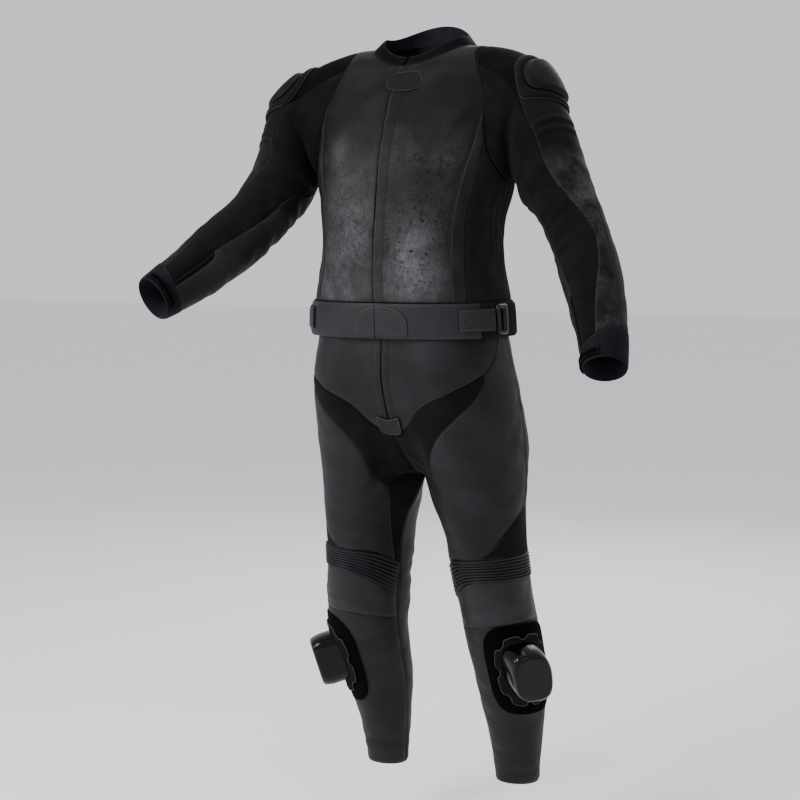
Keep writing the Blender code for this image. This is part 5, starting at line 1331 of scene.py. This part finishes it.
def gathers(across, up):
    """Short gathers of the elastic at both sides of the band, none at the back."""
    sides = bump(across, -0.1, 0.30, 0.02) + bump(across, 0.70, 1.1, 0.02)
    return GATHER_HEIGHT * (wave(across * 44) * sides + 0.3 * (1 - sides)) * bump(up, 0.02, 0.98, 0.06)


TAB_CENTRE, TAB_HALF, TAB_POWER = (0.030, 6.72), (0.062, 0.56), 3.0   # tab under the collar
TAB_WALL, TAB_LINES = 0.0015, np.linspace(-1, 1, 33)


def neck_tab():
    """Rounded tab under the front of the collar."""
    grid = rounded_grid(TAB_CENTRE, TAB_HALF, TAB_POWER, TAB_LINES, TAB_LINES)
    tab, ways = pad_solid("neck_tab", surface_of("torso"), grid, even_height(TAB_WALL), LAY_GAP,
                          "worn_leather")
    # pale tube round the tab: a painted highlight of its edge
    tube("neck_tab_edge", border(tab), border(ways), RADIUS["flap"], "pale_highlight_tube", closed=True)


# ---- trousers
TIP, TIP_LOW = (0.41, 1.00), (0.41, 1.15)     # outer end of the yoke, and of the stretch wing below it
WEDGE_TOP, WEDGE_TIP = (0.512, 4.86), (0.25, 6.42)    # ends of the stretch wedge at the outer knee
SIDE_TURN = 0.53          # the outer seam
KNEE_CENTRE = {1: (0.363, 9.92), -1: (0.365, 10.2)}
SLIDER_CENTRE = {1: (0.352, 9.79), -1: (0.365, 10.2)}
VELCRO_HALF = (0.165, 1.50)   # half sizes around the knee, in turns and stations
PLATE_HALF = (0.122, 1.16)
SLIDER_HALF = (0.087, 0.81)
SLIDER_PROFILE = ((0.0, SLIDER_DEPTH), (0.84, SLIDER_DEPTH), (0.96, SLIDER_DEPTH - 0.005), (1.0, 0.016))
VELCRO_POWER, PLATE_POWER, SLIDER_POWER = 3.6, 3.0, 2.8      # how square each is
PLATE_NOTCH = 0.10            # how deep the plate's border is notched, as a share of its half size
FLY_HALF, FLY_START, FLY_END = 0.014, 0.05, 2.42      # the fly's half width, and where its opening runs
FLY_PATCH_SET, FLY_PATCH_WALL = 0.0024, 0.0015
FLY_PATCH_ROUND = 0.25        # how far the patch narrows at its end
FLY_PATCH_HALF = 0.040        # turns from the middle to the patch's sides
FLY_PATCH_TOP, FLY_PATCH_END = 1.94, 2.46
FLY_PATCH_DIP = 0.07          # how far the top line dips in the middle, in stations
FLY_SLIT_TOP, FLY_SLIT_END = 0.010, -0.002    # turns of the slit at the waist and at its end
FLY_GAPE = 0.0050             # turns that the slit is wide
FLY_TEETH = 0.40              # share of the slit that shows teeth
FLY_MOUTH = 0.0035            # how much further each side gapes at the waist
FLY_FLAP = 0.030              # turns that each edge over the fly's zip covers


def leg_panels(side, hand):
    """All sewn panels of one trouser leg with its half of the seat."""
    limb = surface_of("leg", side)
    fly = seam(3, (FLY_HALF, 0.0), (FLY_HALF, FLY_END))
    waist_front = seam(5, (FLY_HALF, 0.0), (0.50, 0.0))
    yoke_side = seam(3, (0.50, 0.0), (0.46, 0.60), TIP)
    yoke_seam = seam(5, (FLY_HALF, FLY_END), (0.12, 2.00), (0.23, 1.62), (0.335, 1.27), TIP)
    panel(f"yoke_{hand}", limb, (waist_front, yoke_side, yoke_seam, fly), "trouser")

    inner_edge = seam(10, (0.0, FLY_END + 0.02), (0.0, 3.3), (0.0, 4.2), (0.0, 5.0), (0.0, 5.9), (0.0, 7.0))
    crotch_start = seam(1, (FLY_HALF, FLY_END), (0.0, FLY_END + 0.02))
    wing_tip = seam(3, TIP, TIP_LOW)
    wing_seam = seam(16, TIP_LOW, (0.37, 1.52), (0.30, 1.98), (0.235, 2.5), (0.165, 3.2), (0.122, 3.9),
                     (0.095, 4.6), (0.075, 5.3), (0.044, 6.1), (0.02, 6.9))
    crotch_end = seam(3, (0.0, 7.0), (0.02, 6.9))
    inner_line = join(yoke_seam[::-1], crotch_start, inner_edge)
    panel(f"crotch_{hand}", limb, (wing_tip, wing_seam, crotch_end, inner_line), "stretch")

    pleat_top_thigh = seam(4, (0.02, 6.9), (0.11, 6.58), WEDGE_TIP)
    side_high = seam(16, (SIDE_TURN, 0.0), (SIDE_TURN, 2.0), (0.52, 3.8), WEDGE_TOP)
    wedge_back = seam(3, WEDGE_TOP, (SIDE_TURN, 6.4))
    wedge_upper = seam(3, WEDGE_TOP, (0.40, 5.5))
    wedge_lower = seam(3, (0.40, 5.5), (0.32, 6.05), WEDGE_TIP)
    pleat_top_wedge = seam(3, WEDGE_TIP, (0.39, 6.36), (SIDE_TURN, 6.4))
    waist_side = seam(4, (0.50, 0.0), (SIDE_TURN, 0.0))
    panel(f"thigh_{hand}", limb, (waist_side, join(side_high, wedge_upper, wedge_lower), pleat_top_thigh,
                                  join(yoke_side, wing_tip, wing_seam)), "trouser")
    panel(f"knee_wedge_{hand}", limb, (wedge_upper[::-1], wedge_back, pleat_top_wedge, wedge_lower),
          "stretch")

    pleat_top = join(crotch_end, pleat_top_thigh, pleat_top_wedge)
    pleat_bottom = seam(10, (0.0, 8.0), (0.14, 7.32), (0.24, 7.10), (0.34, 7.06), (SIDE_TURN, 7.15))
    pleat_in = seam(4, (0.0, 7.0), (0.0, 8.0))
    pleat_out = seam(4, (SIDE_TURN, 6.4), (SIDE_TURN, 7.15))
    panel(f"knee_pleats_{hand}", limb, (pleat_top, pleat_out, pleat_bottom, pleat_in), "trouser",
          relief=pleats, pitch=PLEAT_PITCH)
    knee_bottom = seam(10, (0.0, 8.8), (0.15, 8.60), (0.27, 8.50), (0.40, 8.42), (SIDE_TURN, 8.4))
    knee_in = seam(2, (0.0, 8.0), (0.0, 8.8))
    knee_out = seam(2, (SIDE_TURN, 7.15), (SIDE_TURN, 8.4))
    panel(f"knee_{hand}", limb, (pleat_bottom, knee_out, knee_bottom, knee_in), "knee_leather")
    hem = seam(10, (0.0, LEG_END), (0.50, LEG_END))
    shin_in = seam(7, (0.0, 8.8), (0.0, LEG_END))
    shin_out = seam(7, (SIDE_TURN, 8.4), (SIDE_TURN, 11), (0.50, LEG_END))
    panel(f"shin_{hand}", limb, (knee_bottom, shin_out, hem, shin_in), "trouser")

    back_inner = join(seam(8, (1.0, 0.0), (1.0, FLY_END)), seam(1, (1.0, FLY_END), (1.0, FLY_END + 0.02)),
                      inner_edge + (1, 0), pleat_in + (1, 0), knee_in + (1, 0), shin_in + (1, 0))
    back_outer = join(side_high, wedge_back, pleat_out, knee_out, shin_out)
    panel(f"leg_back_{hand}", limb, (seam(6, (SIDE_TURN, 0.0), (1.0, 0.0)), back_inner,
                                     seam(6, (0.50, LEG_END), (1.0, LEG_END)), back_outer), "trouser")


def pleats(across, up):
    """Eight rounded pleats across the front of the knee, flatter at the inner seam."""
    fan = up + 0.015 * np.sin(across * 9 + up * 5)
    return PLEAT_HEIGHT * (wave(fan * 8) - 0.25) * np.clip(across / 0.15 + 0.35, 0, 1)


def fly():
    """Zip tape of the fly."""
    edge_places = seam(3, (FLY_HALF, 0.0), (FLY_HALF, FLY_END))
    surface = surface_of("leg", 1)
    edge, normal = points_and_normals(surface, edge_places)
    flip = np.array((-1, 1, 1))
    shares = np.linspace(0, 1, 9)[:, None, None]
    points = edge * flip * (1 - shares) + edge * shares
    normals = unit(normal * flip * (1 - shares) + normal * shares)
    finish_panel("fly_zip", surface, points, normals, "zip_tape", lift=-ZIP_SINK)
    share = np.linspace(0, FLY_TEETH, 20)
    slit, ways = over_centre(fly_slit(share), FLY_START + FLY_PATCH_TOP * share)
    teeth_row("fly_teeth", slit - ways * ZIP_SINK, ways)


def fly_slit(down):
    """Turn of the middle of the fly's opening at a share of its length."""
    return FLY_SLIT_TOP + (FLY_SLIT_END - FLY_SLIT_TOP) * down


def over_centre(turn, station):
    """Points and normals of the trousers' front; negative turns lie on the wearer's right."""
    points, normals = points_and_normals(surface_of("leg", 1), stack(np.abs(turn), station))
    flip = stack(np.where(turn < 0, -1.0, 1.0), 1.0, 1.0)
    return points * flip, unit(normals * flip)


def fly_flaps():
    """Two narrow folded edges that nearly meet over the fly's zip."""
    for way, hand in HANDS:
        across, down = np.meshgrid(np.linspace(0, 1, 13), np.linspace(0, 1, 80))
        slit = fly_slit(down) + way * FLY_MOUTH * np.exp(-(down / 0.14) ** 2)
        points, normals = over_centre(slit + way * (FLY_GAPE / 2 + FLY_FLAP * across),
                                      FLY_START + (FLY_PATCH_TOP + 0.15) * down)
        # painted highlight along each flap's fold
        flap(f"fly_flap_{hand}", points, normals, swell(points), across, 2, 8, "trouser",
             {"edge": np.exp(-(across / 0.10) ** 2)})


def fly_patch():
    """Small patch over the lower end of the fly, on both halves of the trousers."""
    across, down = np.meshgrid(np.linspace(-1, 1, 27), np.linspace(0, 1, 25))
    top = FLY_PATCH_TOP + FLY_PATCH_DIP * (1 - np.abs(across))
    end = FLY_PATCH_END - FLY_PATCH_DIP * across ** 2
    narrowing = 1 - FLY_PATCH_ROUND * down ** 5
    points, normals = over_centre(FLY_PATCH_HALF * across * narrowing, top + (end - top) * down)
    lay_patch("fly_patch", points + normals * FLY_PATCH_SET, normals, FLY_PATCH_WALL, "trouser")
    rim = border(points + normals * (FLY_PATCH_SET + FLY_PATCH_WALL / 2))
    # bound edge of the patch, painted pale as its highlight
    tube("fly_patch_edge", rim, border(normals), FLY_PATCH_WALL / 2, "bound_edge_highlight", closed=True)


def knee_trims(side, hand):
    """Velcro field, notched base plate and puck on the outer front of the knee."""
    limb = surface_of("leg", side)
    lines = np.linspace(-1, 1, 49), np.linspace(-1, 1, 73)
    field = rounded_grid(KNEE_CENTRE[side], VELCRO_HALF, VELCRO_POWER, *lines)
    pad_solid(f"velcro_{hand}", limb, field, even_height(VELCRO), VELCRO_LIFT, "hook")
    plate_lift = VELCRO_LIFT + VELCRO + SEAT_GAP
    plate = rounded_grid(KNEE_CENTRE[side], PLATE_HALF, PLATE_POWER, *lines, notch=PLATE_NOTCH)
    plate, ways = pad_solid(f"slider_base_{hand}", limb, plate, even_height(PLATE), plate_lift, "base")
    # bound edge of the plate, painted pale as its highlight
    tube(f"slider_base_edge_{hand}", border(plate), border(ways), RADIUS["plate"], "bound_edge_highlight", closed=True)
    puck = rounded_grid(SLIDER_CENTRE[side], SLIDER_HALF, SLIDER_POWER, PAD_LINES, PAD_LINES)
    pad_solid(f"knee_slider_{hand}", limb, puck, SLIDER_PROFILE, plate_lift + PLATE + SEAT_GAP, "slider",
              level=True)


# ---- the whole suit
def build():
    """Every piece of the suit."""
    make_materials()
    torso_panels()
    collar_panels()
    waistband()
    fly()
    neck_tab()
    fly_patch()
    for side, hand in HANDS:
        sleeve_panels(side, hand)
        leg_panels(side, hand)
        sleeve_trims(side, hand)
        knee_trims(side, hand)
    fly_flaps()
    build_stitches()


# ---- camera, floor and light
# the suit is seen from its left; the rise and the swing are pixels over the focal length in pixels
CAMERA_TURN, CAMERA_AWAY, CAMERA_Z = math.radians(26), 3.0, -0.267
CAMERA_RISE, CAMERA_SWING = math.atan(167 / 1665), math.atan(15 / 1665)
FLOOR_Z = -1.42


def area_light(name, place, aim, size, power):
    """A soft square light that faces a point."""
    data = bpy.data.lights.new(name, "AREA")
    data.shape, data.size, data.energy = "SQUARE", size, power
    made = bpy.data.objects.new(name, data)
    made.location = place
    made.rotation_euler = (Vector(aim) - Vector(place)).to_track_quat("-Z", "Y").to_euler()
    bpy.context.scene.collection.objects.link(made)


def stage():
    """Pale floor, soft light and the camera."""
    bpy.ops.mesh.primitive_plane_add(size=40, location=(0, 0, FLOOR_Z))
    floor = bpy.context.object
    floor.name = "floor"
    nodes = Nodes("floor")
    nodes.finish(nodes.mix(nodes.noise(3.0), (0.86, 0.86, 0.87), (0.90, 0.90, 0.91)), 0.9)
    floor.data.materials.append(nodes.material)
    world = bpy.data.worlds.new("studio")
    bpy.context.scene.world = world
    world.use_nodes = True
    world.node_tree.nodes["Background"].inputs["Color"].default_value = (0.95, 0.96, 1.0, 1.0)
    world.node_tree.nodes["Background"].inputs["Strength"].default_value = 0.9
    middle = (0.0, 0.0, -0.6)
    area_light("strip", (-2.0, -1.7, -0.5), (0.15, -0.15, -1.05), 0.40, 12)
    area_light("key", (-1.2, -2.6, 0.9), middle, 1.2, 95)
    area_light("fill", (2.8, -1.8, 0.4), middle, 1.8, 14)
    area_light("back", (-0.6, 2.8, 0.9), middle, 1.8, 40)
    area_light("top", (0.2, 0.2, 2.2), middle, 1.8, 25)
    data = bpy.data.cameras.new("camera")
    data.lens, data.sensor_width = 75, 36
    camera = bpy.data.objects.new("camera", data)
    camera.location = (math.sin(CAMERA_TURN) * CAMERA_AWAY, -math.cos(CAMERA_TURN) * CAMERA_AWAY, CAMERA_Z)
    camera.rotation_euler = (math.pi / 2 - CAMERA_RISE, 0, CAMERA_TURN + CAMERA_SWING)
    bpy.context.scene.collection.objects.link(camera)
    bpy.context.scene.camera = camera


build()
stage()
